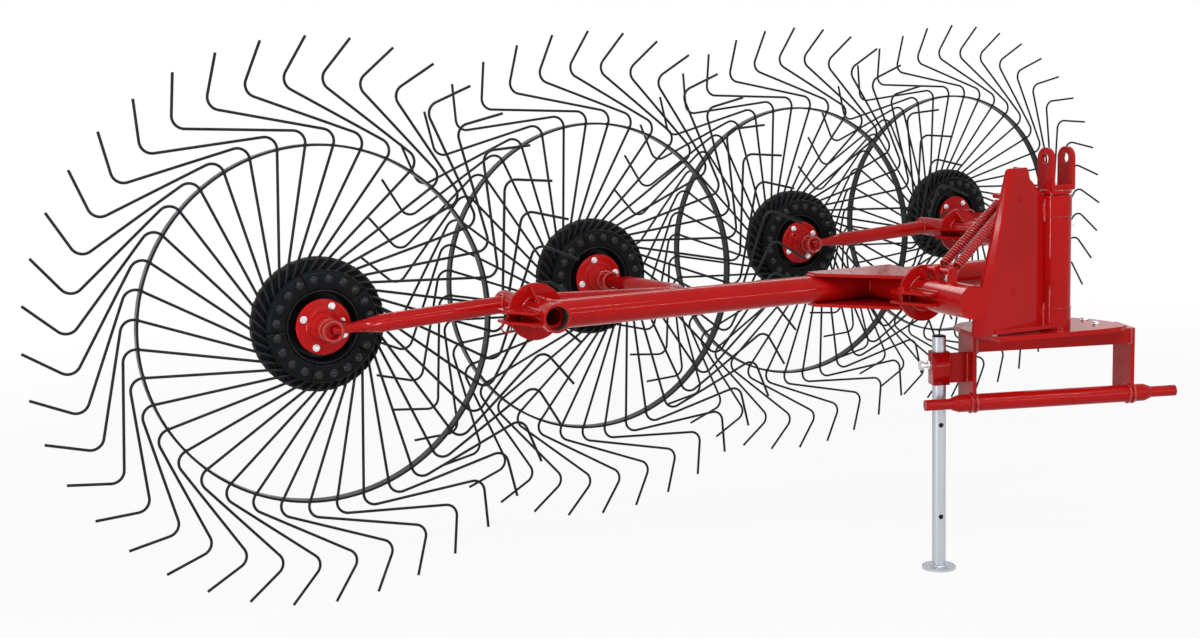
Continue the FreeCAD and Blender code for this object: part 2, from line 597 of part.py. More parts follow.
def tower_plate(outer_y, inward):
    """One side plate of the tower; inward is +1 or -1 along Y."""
    base = TOWER_FOOT
    corners = [V(0, outer_y, base), V(TOWER_BASE_X + TOWER_TOE, outer_y, base),
               V(TOWER_BASE_X, outer_y, base + TOWER_BASE_RISE),
               V(TOWER_TOP_X, outer_y, TOWER_TOP - TOWER_BEVEL),
               V(TOWER_TOP_X + TOWER_BEVEL, outer_y, TOWER_TOP),
               V(TOWER_TOP_X + TOWER_TOP_WIDTH - TOWER_BEVEL, outer_y, TOWER_TOP),
               V(TOWER_TOP_X + TOWER_TOP_WIDTH, outer_y, TOWER_TOP - TOWER_BEVEL),
               V(TOWER_SHOULDER_X, outer_y, POST_TOP - TOWER_SHOULDER_DROP),
               V(0, outer_y, POST_TOP - TOWER_HEEL_DROP)]
    blank = plate(corners, TOWER_PLATE, V(0, inward, 0))
    near, far = outer_y - 2 * TOWER_PLATE, outer_y + 2 * TOWER_PLATE
    pin_hole = rod(V(FLOAT_PIN_X, near, PIVOT_HEIGHT), V(FLOAT_PIN_X, far, PIVOT_HEIGHT),
                   FLOAT_PIN / 2)
    bar_z = TOWER_TOP - SPRING_TOP_DROP
    bar_hole = rod(V(SPRING_TOP_X, near, bar_z), V(SPRING_TOP_X, far, bar_z), SPRING_ANCHOR / 2)
    sleeve = ring_z(TOWER_BAND_RADIUS, 0, base - 1, TOWER_TOP + 1)
    return blank.cut(pin_hole).cut(bar_hole).cut(sleeve)


def tower_foot():
    """Foot plate between the tower plates, with the hole of the swing lock pin."""
    inner_front = TOWER_FRONT_Y + TOWER_PLATE
    depth = TOWER_REAR_Y - TOWER_PLATE - inner_front
    length = -TOWER_BASE_X - TOWER_TOE
    blank = Part.makeBox(length, depth, TOWER_FOOT_THICKNESS, V(-length, inner_front, TOWER_FOOT))
    hole = ring_z(SWING_PIN_RADIUS, 0, TOWER_FOOT - 1, TOWER_FOOT + TOWER_FOOT_THICKNESS + 1,
                  -SWING_PIN_ARC, TOWER_MIDDLE_Y)
    sleeve = ring_z(TOWER_BAND_RADIUS, 0, TOWER_FOOT - 1, TOWER_FOOT + TOWER_FOOT_THICKNESS + 1)
    return blank.cut(hole).cut(sleeve)


def swing_lock_pin():
    """Pin that locks the tower to the swivel plate through its curved slot."""
    top = TOWER_FOOT + TOWER_FOOT_THICKNESS
    low = SWIVEL_PLATE_TOP - SWIVEL_PLATE_THICKNESS + SWING_PIN_INSET
    x = -SWING_PIN_ARC
    shank = rod(V(x, TOWER_MIDDLE_Y, low), V(x, TOWER_MIDDLE_Y, top), SWING_PIN_RADIUS)
    head = rod(V(x, TOWER_MIDDLE_Y, top), V(x, TOWER_MIDDLE_Y, top + PIN_HEAD_HEIGHT),
               SWING_PIN_RADIUS + PIN_HEAD_RIM)
    return shank.fuse(head)


def float_arm():
    """Short arm that carries the centre pivot sleeve on the tower."""
    y = SPRING_FRONT_Y
    tube = rod(V(CENTRE_PIVOT_X, y, PIVOT_HEIGHT), V(FLOAT_PIN_X, y, PIVOT_HEIGHT), FLOAT_TUBE / 2)
    half = FLOAT_EYE_LENGTH / 2
    eye = rod(V(FLOAT_PIN_X, y - half, PIVOT_HEIGHT), V(FLOAT_PIN_X, y + half, PIVOT_HEIGHT),
              FLOAT_EYE_RADIUS)
    hole = rod(V(FLOAT_PIN_X, y - half - 1, PIVOT_HEIGHT),
               V(FLOAT_PIN_X, y + half + 1, PIVOT_HEIGHT), FLOAT_PIN / 2 + PIVOT_FIT)
    sleeve = rod(V(CENTRE_PIVOT_X, y - FLOAT_TUBE, PIVOT_HEIGHT),
                 V(CENTRE_PIVOT_X, y + FLOAT_TUBE, PIVOT_HEIGHT), CENTRE_SLEEVE_OUTER / 2)
    return tube.fuse(eye).cut(hole).cut(sleeve)


def float_pin():
    """Pin of the float arm through both tower plates."""
    shank = rod(V(FLOAT_PIN_X, TOWER_FRONT_Y, PIVOT_HEIGHT),
                V(FLOAT_PIN_X, TOWER_REAR_Y + FLOAT_PIN_TAIL, PIVOT_HEIGHT), FLOAT_PIN / 2)
    head = rod(V(FLOAT_PIN_X, TOWER_FRONT_Y - PIN_HEAD_HEIGHT, PIVOT_HEIGHT),
               V(FLOAT_PIN_X, TOWER_FRONT_Y, PIVOT_HEIGHT), FLOAT_PIN / 2 + PIN_HEAD_RIM)
    return shank.fuse(head)


def lower_bar_height():
    """Height of the lower spring bar."""
    return PIVOT_HEIGHT + CENTRE_SLEEVE_OUTER / 2 + SPRING_STAND_OFF


def centre_sleeve():
    """Centre pivot sleeve with its disc, lugs and the lower spring bar."""
    body = pivot_sleeve(CENTRE_PIVOT_X, CENTRE_DISC_Y, CENTRE_SLEEVE_OUTER / 2,
                        CENTRE_SLEEVE_LENGTH, CENTRE_SLEEVE_END)
    z = lower_bar_height()
    front = SPRING_FRONT_Y - SPRING_BAR_END
    back = SPRING_REAR_Y + SPRING_BAR_END
    bar = rod(V(CENTRE_PIVOT_X, front, z), V(CENTRE_PIVOT_X, back, z), SPRING_ANCHOR / 2)
    foot = PIVOT_HEIGHT + SLEEVE_BORE + CHEEK_ROOT
    cheeks = []
    for y in (front + CHEEK_INSET, (front + back - CHEEK_THICKNESS) / 2,
              back - CHEEK_INSET - CHEEK_THICKNESS):
        cheeks.append(Part.makeBox(CHEEK_WIDTH, CHEEK_THICKNESS, z + CHEEK_TOP - foot,
                                   V(CENTRE_PIVOT_X - CHEEK_WIDTH / 2, y, foot)))
    return body.fuse([bar] + cheeks)


def upper_spring_bar():
    """Bar through the top of the tower that both springs hang from."""
    z = TOWER_TOP - SPRING_TOP_DROP
    return rod(V(SPRING_TOP_X, TOWER_FRONT_Y - SPRING_BAR_NOSE, z),
               V(SPRING_TOP_X, SPRING_REAR_Y + SPRING_BAR_TAIL, z), SPRING_ANCHOR / 2)


def lift_spring(y):
    """Closed-coil tension spring with an eye around each spring bar."""
    low = V(CENTRE_PIVOT_X, y, lower_bar_height())
    high = V(SPRING_TOP_X, y, TOWER_TOP - SPRING_TOP_DROP)
    axis = high - low
    eye_radius = SPRING_ANCHOR / 2 + CONTACT + SPRING_WIRE / 2
    hook = eye_radius + SPRING_WIRE / 2 + SPRING_HOOK
    coils = int((axis.Length - 2 * hook) / SPRING_WIRE)
    start = (axis.Length - coils * SPRING_WIRE) / 2
    end = start + coils * SPRING_WIRE
    radius = SPRING_OUTER / 2
    groove = radius - COIL_GROOVE
    profile = [V(0, 0, start)]
    for index in range(coils):
        middle = start + (index + 0.5) * SPRING_WIRE
        profile.append(V(groove, 0, middle - SPRING_WIRE / 2))
        profile.append(V(radius, 0, middle - COIL_LAND * SPRING_WIRE / 2))
        profile.append(V(radius, 0, middle + COIL_LAND * SPRING_WIRE / 2))
    profile += [V(groove, 0, end), V(0, 0, end)]
    body = Part.Face(Part.makePolygon(profile + [profile[0]])).revolve(V(0, 0, 0), Z_AXIS, 360)
    pieces = []
    for centre, inner in ((0.0, start), (axis.Length, end)):
        side = 1 if inner > centre else -1
        pieces.append(Part.makeTorus(eye_radius, SPRING_WIRE / 2, V(0, 0, centre), Y_AXIS))
        pieces.append(rod(V(0, 0, centre + side * eye_radius), V(0, 0, inner + side * 2.0),
                          SPRING_WIRE / 2))
    spring = body.fuse(pieces)
    spring.rotate(V(0, 0, 0), Y_AXIS, math.degrees(math.atan2(axis.x, axis.z)))
    spring.translate(low)
    return spring


def lock_pin():
    """Lock pin dropped through the lugs of the centre pivot."""
    x = CENTRE_PIVOT_X - LUG_REACH + LUG_EYE
    y = CENTRE_DISC_Y - PIVOT_DISC_THICKNESS / 2 - LUG_EYE
    low = PIVOT_HEIGHT - LUG_SPACING / 2 - LUG_PIN
    head_z = PIVOT_HEIGHT + LUG_SPACING / 2 + LUG_THICKNESS / 2
    shank = rod(V(x, y, low), V(x, y, head_z), LUG_PIN / 2)
    head = rod(V(x, y, head_z), V(x, y, head_z + PIN_HEAD_HEIGHT), LUG_PIN / 2 + PIN_HEAD_RIM)
    return shank.fuse(head)


# ---------------------------------------------------------------- headstock
def upright(side):
    """Flat bar upright of the headstock frame; side is -1 or +1."""
    x = side * UPRIGHT_SPACING / 2 - UPRIGHT_THICKNESS / 2
    foot = LINK_PIN_HEIGHT
    top = SWIVEL_PLATE_TOP - SWIVEL_PLATE_THICKNESS
    bar = Part.makeBox(UPRIGHT_THICKNESS, UPRIGHT_DEPTH, top - foot, V(x, FRAME_FRONT, foot))
    cross = rod(V(-LINK_SHOULDER / 2, LINK_Y, LINK_PIN_HEIGHT),
                V(LINK_SHOULDER / 2, LINK_Y, LINK_PIN_HEIGHT), CROSS_TUBE / 2)
    return bar.cut(cross)


def lower_cross_tube():
    """Cross bar between the lower links, with a pin and a shoulder at each end."""
    half = LINK_SHOULDER / 2
    body = rod(V(-half, LINK_Y, LINK_PIN_HEIGHT), V(half, LINK_Y, LINK_PIN_HEIGHT),
               CROSS_TUBE / 2)
    end = LINK_OVERALL / 2
    pins = rod(V(-end, LINK_Y, LINK_PIN_HEIGHT), V(end, LINK_Y, LINK_PIN_HEIGHT), LINK_PIN / 2)
    bar = body.fuse(pins)
    for side in (-1, 1):
        x = side * (end - LINCH_INSET)
        bar = bar.cut(rod(V(x, LINK_Y, LINK_PIN_HEIGHT - LINK_PIN),
                          V(x, LINK_Y, LINK_PIN_HEIGHT + LINK_PIN), LINCH_HOLE / 2))
    return bar


def upper_beam():
    """Upper cross beam between the uprights, under the swivel plate."""
    inside = UPRIGHT_SPACING - UPRIGHT_THICKNESS
    top = SWIVEL_PLATE_TOP - SWIVEL_PLATE_THICKNESS
    z = top - BEAM_HEIGHT
    y = FRAME_FRONT
    outer = Part.makeBox(inside, BEAM_DEPTH, BEAM_HEIGHT, V(-inside / 2, y, z))
    inner = Part.makeBox(inside, BEAM_DEPTH - 2 * CROSS_BEAM_WALL,
                         BEAM_HEIGHT - 2 * CROSS_BEAM_WALL,
                         V(-inside / 2, y + CROSS_BEAM_WALL, z + CROSS_BEAM_WALL))
    return outer.cut(inner)


def swivel_slot():
    """Curved slot of the swing lock pin, centred on the mast post."""
    radius = math.hypot(SWING_PIN_ARC, TOWER_MIDDLE_Y)
    rest = 180.0 - math.degrees(math.atan2(TOWER_MIDDLE_Y, SWING_PIN_ARC)) + FOLD_ANGLE
    start = rest - SWING_BACK
    half = SWING_PIN_RADIUS + SWING_SLOT_PLAY
    z = SWIVEL_PLATE_TOP - SWIVEL_PLATE_THICKNESS - 1
    height = SWIVEL_PLATE_THICKNESS + 2
    outer = Part.makeCylinder(radius + half, height, V(0, 0, z), Z_AXIS, SWING_BACK)
    inner = Part.makeCylinder(radius - half, height, V(0, 0, z), Z_AXIS, SWING_BACK)
    slot = outer.cut(inner)
    slot.rotate(V(0, 0, 0), Z_AXIS, start)
    ends = []
    for angle in (start, rest):
        turn = math.radians(angle)
        ends.append(ring_z(half, 0, z, z + height, radius * math.cos(turn), radius * math.sin(turn)))
    return slot.fuse(ends)


def swivel_plate():
    """Swivel plate on top of the headstock frame."""
    z = SWIVEL_PLATE_TOP - SWIVEL_PLATE_THICKNESS
    corners = [V(x, y, z) for x, y in SWIVEL_PLATE_OUTLINE]
    blank = plate(corners, SWIVEL_PLATE_THICKNESS, Z_AXIS)
    post = ring_z(POST_RADIUS, 0, z - 1, SWIVEL_PLATE_TOP + 1)
    return blank.cut(swivel_slot()).cut(post)


def mast_post():
    """Mast post that the tower turns on."""
    foot = SWIVEL_PLATE_TOP - SWIVEL_PLATE_THICKNESS
    return ring_z(POST_RADIUS, POST_RADIUS - POST_WALL, foot, POST_TOP)


def top_link_fork():
    """Fork for the top link, in line with the folded gang: a cap and two ears with a pin hole."""
    base_z = POST_TOP + FORK_CAP
    cap = ring_z(TOWER_SLEEVE_RADIUS, 0, POST_TOP, base_z)
    outside = FORK_INSIDE + 2 * FORK_EAR_THICKNESS
    hole_z = LINK_PIN_HEIGHT + MAST_HEIGHT
    y = -FORK_EAR_WIDTH / 2
    base = Part.makeBox(outside, FORK_EAR_WIDTH, FORK_BASE, V(-outside / 2, y, base_z))
    pieces = [base]
    for x in (-outside / 2, FORK_INSIDE / 2):
        ear = Part.makeBox(FORK_EAR_THICKNESS, FORK_EAR_WIDTH, hole_z - base_z, V(x, y, base_z))
        crown = Part.makeCylinder(FORK_EAR_WIDTH / 2, FORK_EAR_THICKNESS, V(x, 0, hole_z), V(1, 0, 0))
        pieces.append(ear.fuse(crown))
    hole = rod(V(-outside, 0, hole_z), V(outside, 0, hole_z), FORK_HOLE / 2)
    fork = cap.fuse(pieces).cut(hole)
    fork.rotate(V(0, 0, 0), Z_AXIS, FOLD_ANGLE)
    return fork


def stand_collar():
    """Collar on the left upright that the stand leg slides in."""
    half = COLLAR_OUTER / 2
    right = -UPRIGHT_SPACING / 2 - UPRIGHT_THICKNESS / 2
    block = Part.makeBox(right - (STAND_X - half), COLLAR_OUTER, COLLAR_HEIGHT,
                         V(STAND_X - half, STAND_Y - half, COLLAR_BOTTOM))
    bore = ring_z(STAND_TUBE / 2 + COLLAR_FIT, 0, COLLAR_BOTTOM - 1,
                  COLLAR_BOTTOM + COLLAR_HEIGHT + 1, STAND_X, STAND_Y)
    thread = rod(V(STAND_X - COLLAR_OUTER, STAND_Y, CLAMP_BOLT_HEIGHT),
                 V(STAND_X, STAND_Y, CLAMP_BOLT_HEIGHT), CLAMP_BOLT / 2)
    return block.cut(bore).cut(thread)


def stand_clamp_bolt():
    """Clamp bolt that presses on the stand leg through its collar."""
    z = CLAMP_BOLT_HEIGHT
    tip = STAND_X - STAND_TUBE / 2 - CONTACT
    neck = STAND_X - COLLAR_OUTER / 2 - CLAMP_BOLT_REACH
    shank = rod(V(tip, STAND_Y, z), V(neck, STAND_Y, z), CLAMP_BOLT / 2)
    head = rod(V(neck, STAND_Y, z), V(neck - PIN_HEAD_HEIGHT, STAND_Y, z),
               CLAMP_BOLT / 2 + PIN_HEAD_RIM)
    return shank.fuse(head)


def stand_leg():
    """Galvanised tube of the stand leg with its peg holes."""
    leg = ring_z(STAND_TUBE / 2, STAND_TUBE / 2 - STAND_WALL, STAND_FOOT_THICKNESS, STAND_TOP,
                 STAND_X, STAND_Y)
    for height in STAND_HOLES:
        leg = leg.cut(rod(V(STAND_X, STAND_Y - STAND_TUBE, height),
                          V(STAND_X, STAND_Y + STAND_TUBE, height), STAND_HOLE / 2))
    return leg


def stand_foot():
    """Round foot plate of the stand leg."""
    return ring_z(STAND_FOOT_RADIUS, 0, 0, STAND_FOOT_THICKNESS, STAND_X, STAND_Y)


# ---------------------------------------------------------------- assembly
def headstock_nodes():
    """Pieces of the headstock and the stand, in the part's own axes."""
    return {"left_upright": upright(-1), "right_upright": upright(1),
            "lower_cross_tube": lower_cross_tube(), "upper_beam": upper_beam(),
            "swivel_plate": swivel_plate(), "mast_post": mast_post(),
            "top_link_fork": top_link_fork(), "stand_collar": stand_collar(),
            "stand_clamp_bolt": stand_clamp_bolt(), "stand_leg": stand_leg(),
            "stand_foot": stand_foot()}


def gang_nodes():
    """Pieces that swing about the mast post, in the gang's axes."""
    nodes = {"tower_sleeve": tower_sleeve(),
             "tower_front_plate": tower_plate(TOWER_FRONT_Y, 1),
             "tower_rear_plate": tower_plate(TOWER_REAR_Y, -1),
             "tower_foot": tower_foot(), "swing_lock_pin": swing_lock_pin(),
             "float_arm": float_arm(), "float_pin": float_pin(),
             "centre_pivot_sleeve": centre_sleeve(),
             "upper_spring_bar": upper_spring_bar(), "centre_lock_pin": lock_pin(),
             "front_lift_spring": lift_spring(SPRING_FRONT_Y),
             "rear_lift_spring": lift_spring(SPRING_REAR_Y),
             "beam_left_tube": beam_left_tube(), "beam_right_tube": beam_right_tube(),
             "beam_centre_shaft": beam_centre_shaft(), "beam_gussets": beam_gussets()}
    for name, pivot_x, disc_y, first in (("front", FRONT_PIVOT_X, FRONT_DISC_Y, 0),
                                         ("rear", REAR_PIVOT_X, REAR_DISC_Y, 2)):
        arm_y = disc_y + FRONT_ARM_Y - FRONT_DISC_Y
        nodes[name + "_pivot_sleeve"] = pivot_sleeve(pivot_x, disc_y, SLEEVE_OUTER / 2,
                                                     SLEEVE_LENGTH)
        nodes[name + "_rocker_shaft"] = rocker_shaft(pivot_x, disc_y)
        nodes[name + "_rocker_arm"] = rocker_arm(pivot_x, arm_y, WHEELS[first])
        nodes[name + "_rocker_crank"] = rocker_crank(pivot_x, arm_y, WHEELS[first + 1])
    for number, centre in enumerate(WHEELS, start=1):
        for piece, shape in WHEEL_PIECES.items():
            copy = shape.copy()
            copy.translate(centre)
            nodes["wheel_%d_%s" % (number, piece)] = copy
    return nodes


def assembly():
    """All nodes in the part's axes, with the origin under the middle of the whole."""
    nodes = headstock_nodes()
    for name, shape in gang_nodes().items():
        shape.rotate(V(0, 0, 0), Z_AXIS, FOLD_ANGLE)
        nodes[name] = shape
    box = FreeCAD.BoundBox()
    for shape in nodes.values():
        box.add(shape.BoundBox)
    shift = V(-(box.XMin + box.XMax) / 2, -(box.YMin + box.YMax) / 2, 0)
    for shape in nodes.values():
        shape.translate(shift)
    return nodes, shift


def main():
    """Write one STEP file for each node."""
    os.makedirs("parts", exist_ok=True)
    nodes, shift = assembly()
    for name, shape in nodes.items():
        shape.exportStep("parts/%s.step" % name)
    print("mast post at", round(shift.x, 3), round(shift.y, 3), "axle height", round(AXLE_HEIGHT, 3))


if __name__ == "__main__":
    main()
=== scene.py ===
"""Finish of a folded four-wheel finger-wheel hay rake: paint, rubber, welds, bolts and springs."""
import json
import math
import bmesh
import bpy
from mathutils import Matrix, Vector

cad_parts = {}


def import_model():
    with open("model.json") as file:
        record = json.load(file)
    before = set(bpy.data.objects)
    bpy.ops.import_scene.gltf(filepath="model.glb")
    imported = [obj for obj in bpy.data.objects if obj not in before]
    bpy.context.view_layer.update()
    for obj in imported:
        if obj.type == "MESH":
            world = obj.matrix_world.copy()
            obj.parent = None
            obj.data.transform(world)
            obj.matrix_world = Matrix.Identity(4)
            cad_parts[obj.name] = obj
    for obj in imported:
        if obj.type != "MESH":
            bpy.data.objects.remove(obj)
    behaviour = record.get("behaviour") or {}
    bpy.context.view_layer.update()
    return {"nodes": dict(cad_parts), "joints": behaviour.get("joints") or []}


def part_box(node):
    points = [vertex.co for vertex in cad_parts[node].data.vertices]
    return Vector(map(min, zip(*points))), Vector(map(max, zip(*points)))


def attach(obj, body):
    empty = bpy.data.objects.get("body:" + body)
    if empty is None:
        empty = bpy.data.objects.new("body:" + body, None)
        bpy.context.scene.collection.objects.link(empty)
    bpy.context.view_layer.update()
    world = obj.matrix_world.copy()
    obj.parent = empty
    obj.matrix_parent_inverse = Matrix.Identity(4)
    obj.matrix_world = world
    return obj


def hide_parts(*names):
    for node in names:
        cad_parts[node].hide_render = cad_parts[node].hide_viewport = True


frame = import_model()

bl_info = {
    "name": "Hay Rake Finish",
    "version": (1, 0, 0),
    "blender": (4, 5, 0),
    "location": "3D View > Sidebar > Hay Rake",
    "description": "Paint, rubber, welds, bolts and springs for the folded hay rake",
    "category": "Object",
}

# ---------------------------------------------------------------- places on the rake, in metres
JOINTS = {joint["name"]: joint for joint in frame["joints"]}
NODES = frame["nodes"]
WHEEL_NUMBERS = (1, 2, 3, 4)
SWING = Vector(JOINTS["tower_swing"]["pos_m"])
POST = Vector((SWING.x, SWING.y, 0.0))
AXLE_LINE = Vector(JOINTS["wheel_1_spin"]["axis"])


def machine_axes(origin, along):
    """Axes with x along the wheel planes, y along the axles and z up."""
    across = along.cross(Vector((0, 0, 1)))
    axes = Matrix((across, along, Vector((0, 0, 1)))).transposed().to_4x4()
    axes.translation = origin
    return axes


GANG = machine_axes(POST, AXLE_LINE)
HEAD = Matrix.Translation(POST)
WHEELS = {n: machine_axes(Vector(JOINTS["wheel_%d_spin" % n]["pos_m"]), AXLE_LINE)
          for n in WHEEL_NUMBERS}
CARRIER = {1: "front_rocker", 2: "front_rocker", 3: "rear_rocker", 4: "rear_rocker"}
PIVOT_Z = JOINTS["main_beam_pivot"]["pos_m"][2]


def gang_x(joint):
    """Place of a joint along the wheel planes, from the mast post."""
    return (GANG.inverted() @ Vector(JOINTS[joint]["pos_m"])).x


FRONT_X = gang_x("front_rocker_pivot")
CENTRE_X = gang_x("main_beam_pivot")
REAR_X = gang_x("rear_rocker_pivot")
FRONT_DISC, CENTRE_DISC, REAR_DISC = 0.384, 0.095, 1.208   # discs, from the mast post
ARM_BEHIND_DISC = 0.166
BEAM_Y = 0.311
BEAM_RADIUS = 0.035
CENTRE_RADIUS = 0.041
SHAFT_RADIUS = 0.02945
ARM_RADIUS = 0.02225
SLEEVE_LENGTH = 0.137
LUG_LENGTH = 0.120
LUG_HALF_SPACE = 0.013
DISC_FACE = 0.004
RING_RADIUS = 0.440
POST_RADIUS = 0.039
FACE_FRONT = Vector((0, -1, 0))
FACE_BACK = Vector((0, 1, 0))
FACE_UP = Vector((0, 0, 1))
FACE_SIDE = Vector((1, 0, 0))
RIPPLE_POINTS = 4.0        # points along one ripple of a weld bead


# ---------------------------------------------------------------- mesh helpers
def facing(point, direction):
    """Axes at a point with z along a direction."""
    turn = Vector(direction).to_track_quat("Z", "Y").to_matrix().to_4x4()
    return Matrix.Translation(point) @ turn


def polar(radius, degrees, y=0.0):
    """Point on a wheel face; angles start at the right and run anticlockwise from in front."""
    turn = math.radians(degrees)
    return Vector((radius * math.cos(turn), y, radius * math.sin(turn)))


def mm(*pairs):
    """Profile points given in millimetres."""
    return [(a / 1000.0, b / 1000.0) for a, b in pairs]


def soften(profile, radius, closed=True, steps=3):
    """Profile with its corners rounded."""
    points = [Vector(p) for p in profile]
    soft = []
    count = len(points)
    for i, corner in enumerate(points):
        if not closed and i in (0, count - 1):
            soft.append(corner)
            continue
        before, after = points[i - 1] - corner, points[(i + 1) % count] - corner
        reach = min(radius, before.length * 0.45, after.length * 0.45)
        start = corner + before.normalized() * reach
        end = corner + after.normalized() * reach
        for k in range(steps + 1):
            f = k / steps
            soft.append(start * (1 - f) ** 2 + corner * 2 * f * (1 - f) + end * f ** 2)
    return [tuple(p) for p in soft]


def skin(shape, low, high, material=0, smooth=True):
    """Faces between two closed rows of points."""
    for i in range(len(low)):
        j = (i + 1) % len(low)
        face = shape.faces.new((low[i], low[j], high[j], high[i]))
        face.smooth, face.material_index = smooth, material


def lathe(shape, profile, place, segments, closed=False, material=0, smooth=True):
    """Turn a profile of (radius, height) about the z axis of place."""
    rings = []
    for radius, height in profile:
        count = 1 if radius < 1e-6 else segments   # a point on the axis is one vertex
        turns = [2 * math.pi * i / count for i in range(count)]
        rings.append([shape.verts.new(place @ Vector((radius * math.cos(turn),
                                                      radius * math.sin(turn), height)))
                      for turn in turns])
    pairs = list(zip(rings, rings[1:]))
    if closed:
        pairs.append((rings[-1], rings[0]))
    for low, high in pairs:
        for i in range(segments):
            j = (i + 1) % segments
            corners = []
            for vert in (low[i % len(low)], low[j % len(low)],
                         high[j % len(high)], high[i % len(high)]):
                if vert not in corners:
                    corners.append(vert)
            if len(corners) > 2:
                face = shape.faces.new(corners)
                face.smooth, face.material_index = smooth, material


def sweep(shape, path, radius, sides, closed=False):
    """Round bar along a path; radius is one number or a list with one for each point."""
    count = len(path)
    radii = radius if isinstance(radius, list) else [radius] * count
    tangents = []
    for i in range(count):
        before = path[i - 1] if closed or i else path[0]
        after = path[(i + 1) % count] if closed or i < count - 1 else path[-1]
        tangents.append((after - before).normalized())
    normal = tangents[0].orthogonal().normalized()
    rings = []
    for i in range(count):
        normal = (normal - tangents[i] * normal.dot(tangents[i])).normalized()
        side = tangents[i].cross(normal)
        ring = []
        for k in range(sides):
            turn = 2 * math.pi * k / sides
            offset = (normal * math.cos(turn) + side * math.sin(turn)) * radii[i]
            ring.append(shape.verts.new(path[i] + offset))
        rings.append(ring)
    for low, high in zip(rings, rings[1:]):
        skin(shape, low, high)
    if closed:
        shift = min(range(sides), key=lambda s: (rings[-1][0].co - rings[0][s].co).length)
        skin(shape, rings[-1], rings[0][shift:] + rings[0][:shift])
    else:
        shape.faces.new(rings[0])
        shape.faces.new(rings[-1])


def merge(shape, part):
    """Add one mesh to another."""
    mesh = bpy.data.meshes.new("part")
    part.to_mesh(mesh)
    part.free()
    shape.from_mesh(mesh)
    bpy.data.meshes.remove(mesh)


def even_steps(path, step, closed=False):
    """Path with points at even steps."""
    points = path + [path[0]] if closed else path
    lengths = [(b - a).length for a, b in zip(points, points[1:])]
    total = sum(lengths)
    count = max(2, int(total / step))
    stepped = []
    index, passed = 0, 0.0
    for k in range(count if closed else count + 1):
        along = total * k / count
        while index < len(lengths) - 1 and passed + lengths[index] < along:
            passed += lengths[index]
            index += 1
        f = (along - passed) / max(lengths[index], 1e-9)
        stepped.append(points[index].lerp(points[index + 1], min(f, 1.0)))
    return stepped


def bead(shape, path, width, closed=False):
    """Rippled weld bead along a path."""
    step = sizes().weld_ripple / RIPPLE_POINTS
    points = even_steps([Vector(point) for point in path], step, closed)
    radii = []
    for i in range(len(points)):
        wave = abs(math.sin(math.pi * i / RIPPLE_POINTS))
        drift = 0.06 * math.sin(i * 0.37) + 0.04 * math.sin(i * 0.11 + 1.0)
        radii.append(width / 2.0 * (0.84 + 0.2 * wave + drift))
    if not closed:
        radii[0] *= 0.5
        radii[-1] *= 0.5
    sweep(shape, points, radii, 8, closed)


def circle(centre, axis, radius, count=64):
    """Points on a circle about an axis, without its first point again at the end."""
    place = facing(centre, axis)
    turns = [math.radians(360.0 * i / count) for i in range(count)]
    return [place @ Vector((radius * math.cos(turn), radius * math.sin(turn), 0))
            for turn in turns]


def bolt(shape, point, direction, size, height=0.65):
    """Hexagon bolt head on its washer; the head's height is a share of its size."""
    place = facing(point, direction)
    base = size * 0.16
    top = base + size * height
    lathe(shape, [(0, 0), (size * 1.02, 0), (size * 1.08, base * 0.3), (size * 1.08, base * 0.75),
                  (size * 1.02, base), (0, base)], place, 28)
    lathe(shape, [(0, base), (size * 0.84, base), (size * 0.84, top - size * 0.12),
                  (size * 0.74, top), (0, top)], place, 6, smooth=False)


def nipple(shape, point, direction):
    """Grease nipple: hexagon foot, neck and ball."""
    place = facing(point, direction)
    lathe(shape, mm((0, 0), (5, 0), (5, 4), (4.4, 4.6), (0, 4.6)), place, 6, smooth=False)
    lathe(shape, soften(mm((2.6, 4.2), (2.6, 8), (2.0, 9), (3.2, 11), (3.0, 13), (1.2, 14.4),
                           (0, 14.5)), 0.0006, False), place, 14)


def finish_piece(name, shape, body, materials, replaces=(), place=None):
    """Put a mesh on the rake: on its body and the nodes it stands for."""
    if place is not None:
        shape.transform(place)
    bmesh.ops.recalc_face_normals(shape, faces=shape.faces)
    mesh = bpy.data.meshes.new(name)
    shape.to_mesh(mesh)
    shape.free()
    piece = bpy.data.objects.new(name, mesh)
    bpy.context.scene.collection.objects.link(piece)
    for material in materials:
        mesh.materials.append(finish(material))
    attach(piece, body)
    if replaces:
        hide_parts(*replaces)


def red_piece(name, shape, body, material="red enamel", replaces=(), place=GANG):
    """Put a painted piece on the rake."""
    finish_piece(name, shape, body, (material,), replaces, place)


def wheel_piece(number, kind, shape, materials, replaced=None):
    """Put a piece on a wheel, in place of the wheel's CAD node of the kind replaced."""
    wheel = "wheel_%d_" % number
    replaces = (wheel + replaced,) if replaced else ()
    finish_piece(wheel + kind, shape, "wheel_%d" % number, materials, replaces,
                 WHEELS[number])


# ---------------------------------------------------------------- finishes
COLOUR, NUMBER = "NodeSocketColor", "NodeSocketFloat"


def set_values(node, values):
    """Values for a node's inputs, by their names."""
    for name, value in values.items():
        node.inputs[name].default_value = value


def add_node(tree, kind, values=None, **settings):
    """Shader node with settings of its own and values for its inputs."""
    node = tree.nodes.new("ShaderNode" + kind)
    for name, value in settings.items():
        setattr(node, name, value)
    set_values(node, values or {})
    return node


def join(tree, *joins):
    """Link sockets, each join as (node, its output, next node, its input)."""
    for source, output, target, into in joins:
        tree.links.new(source.outputs[output], target.inputs[into])


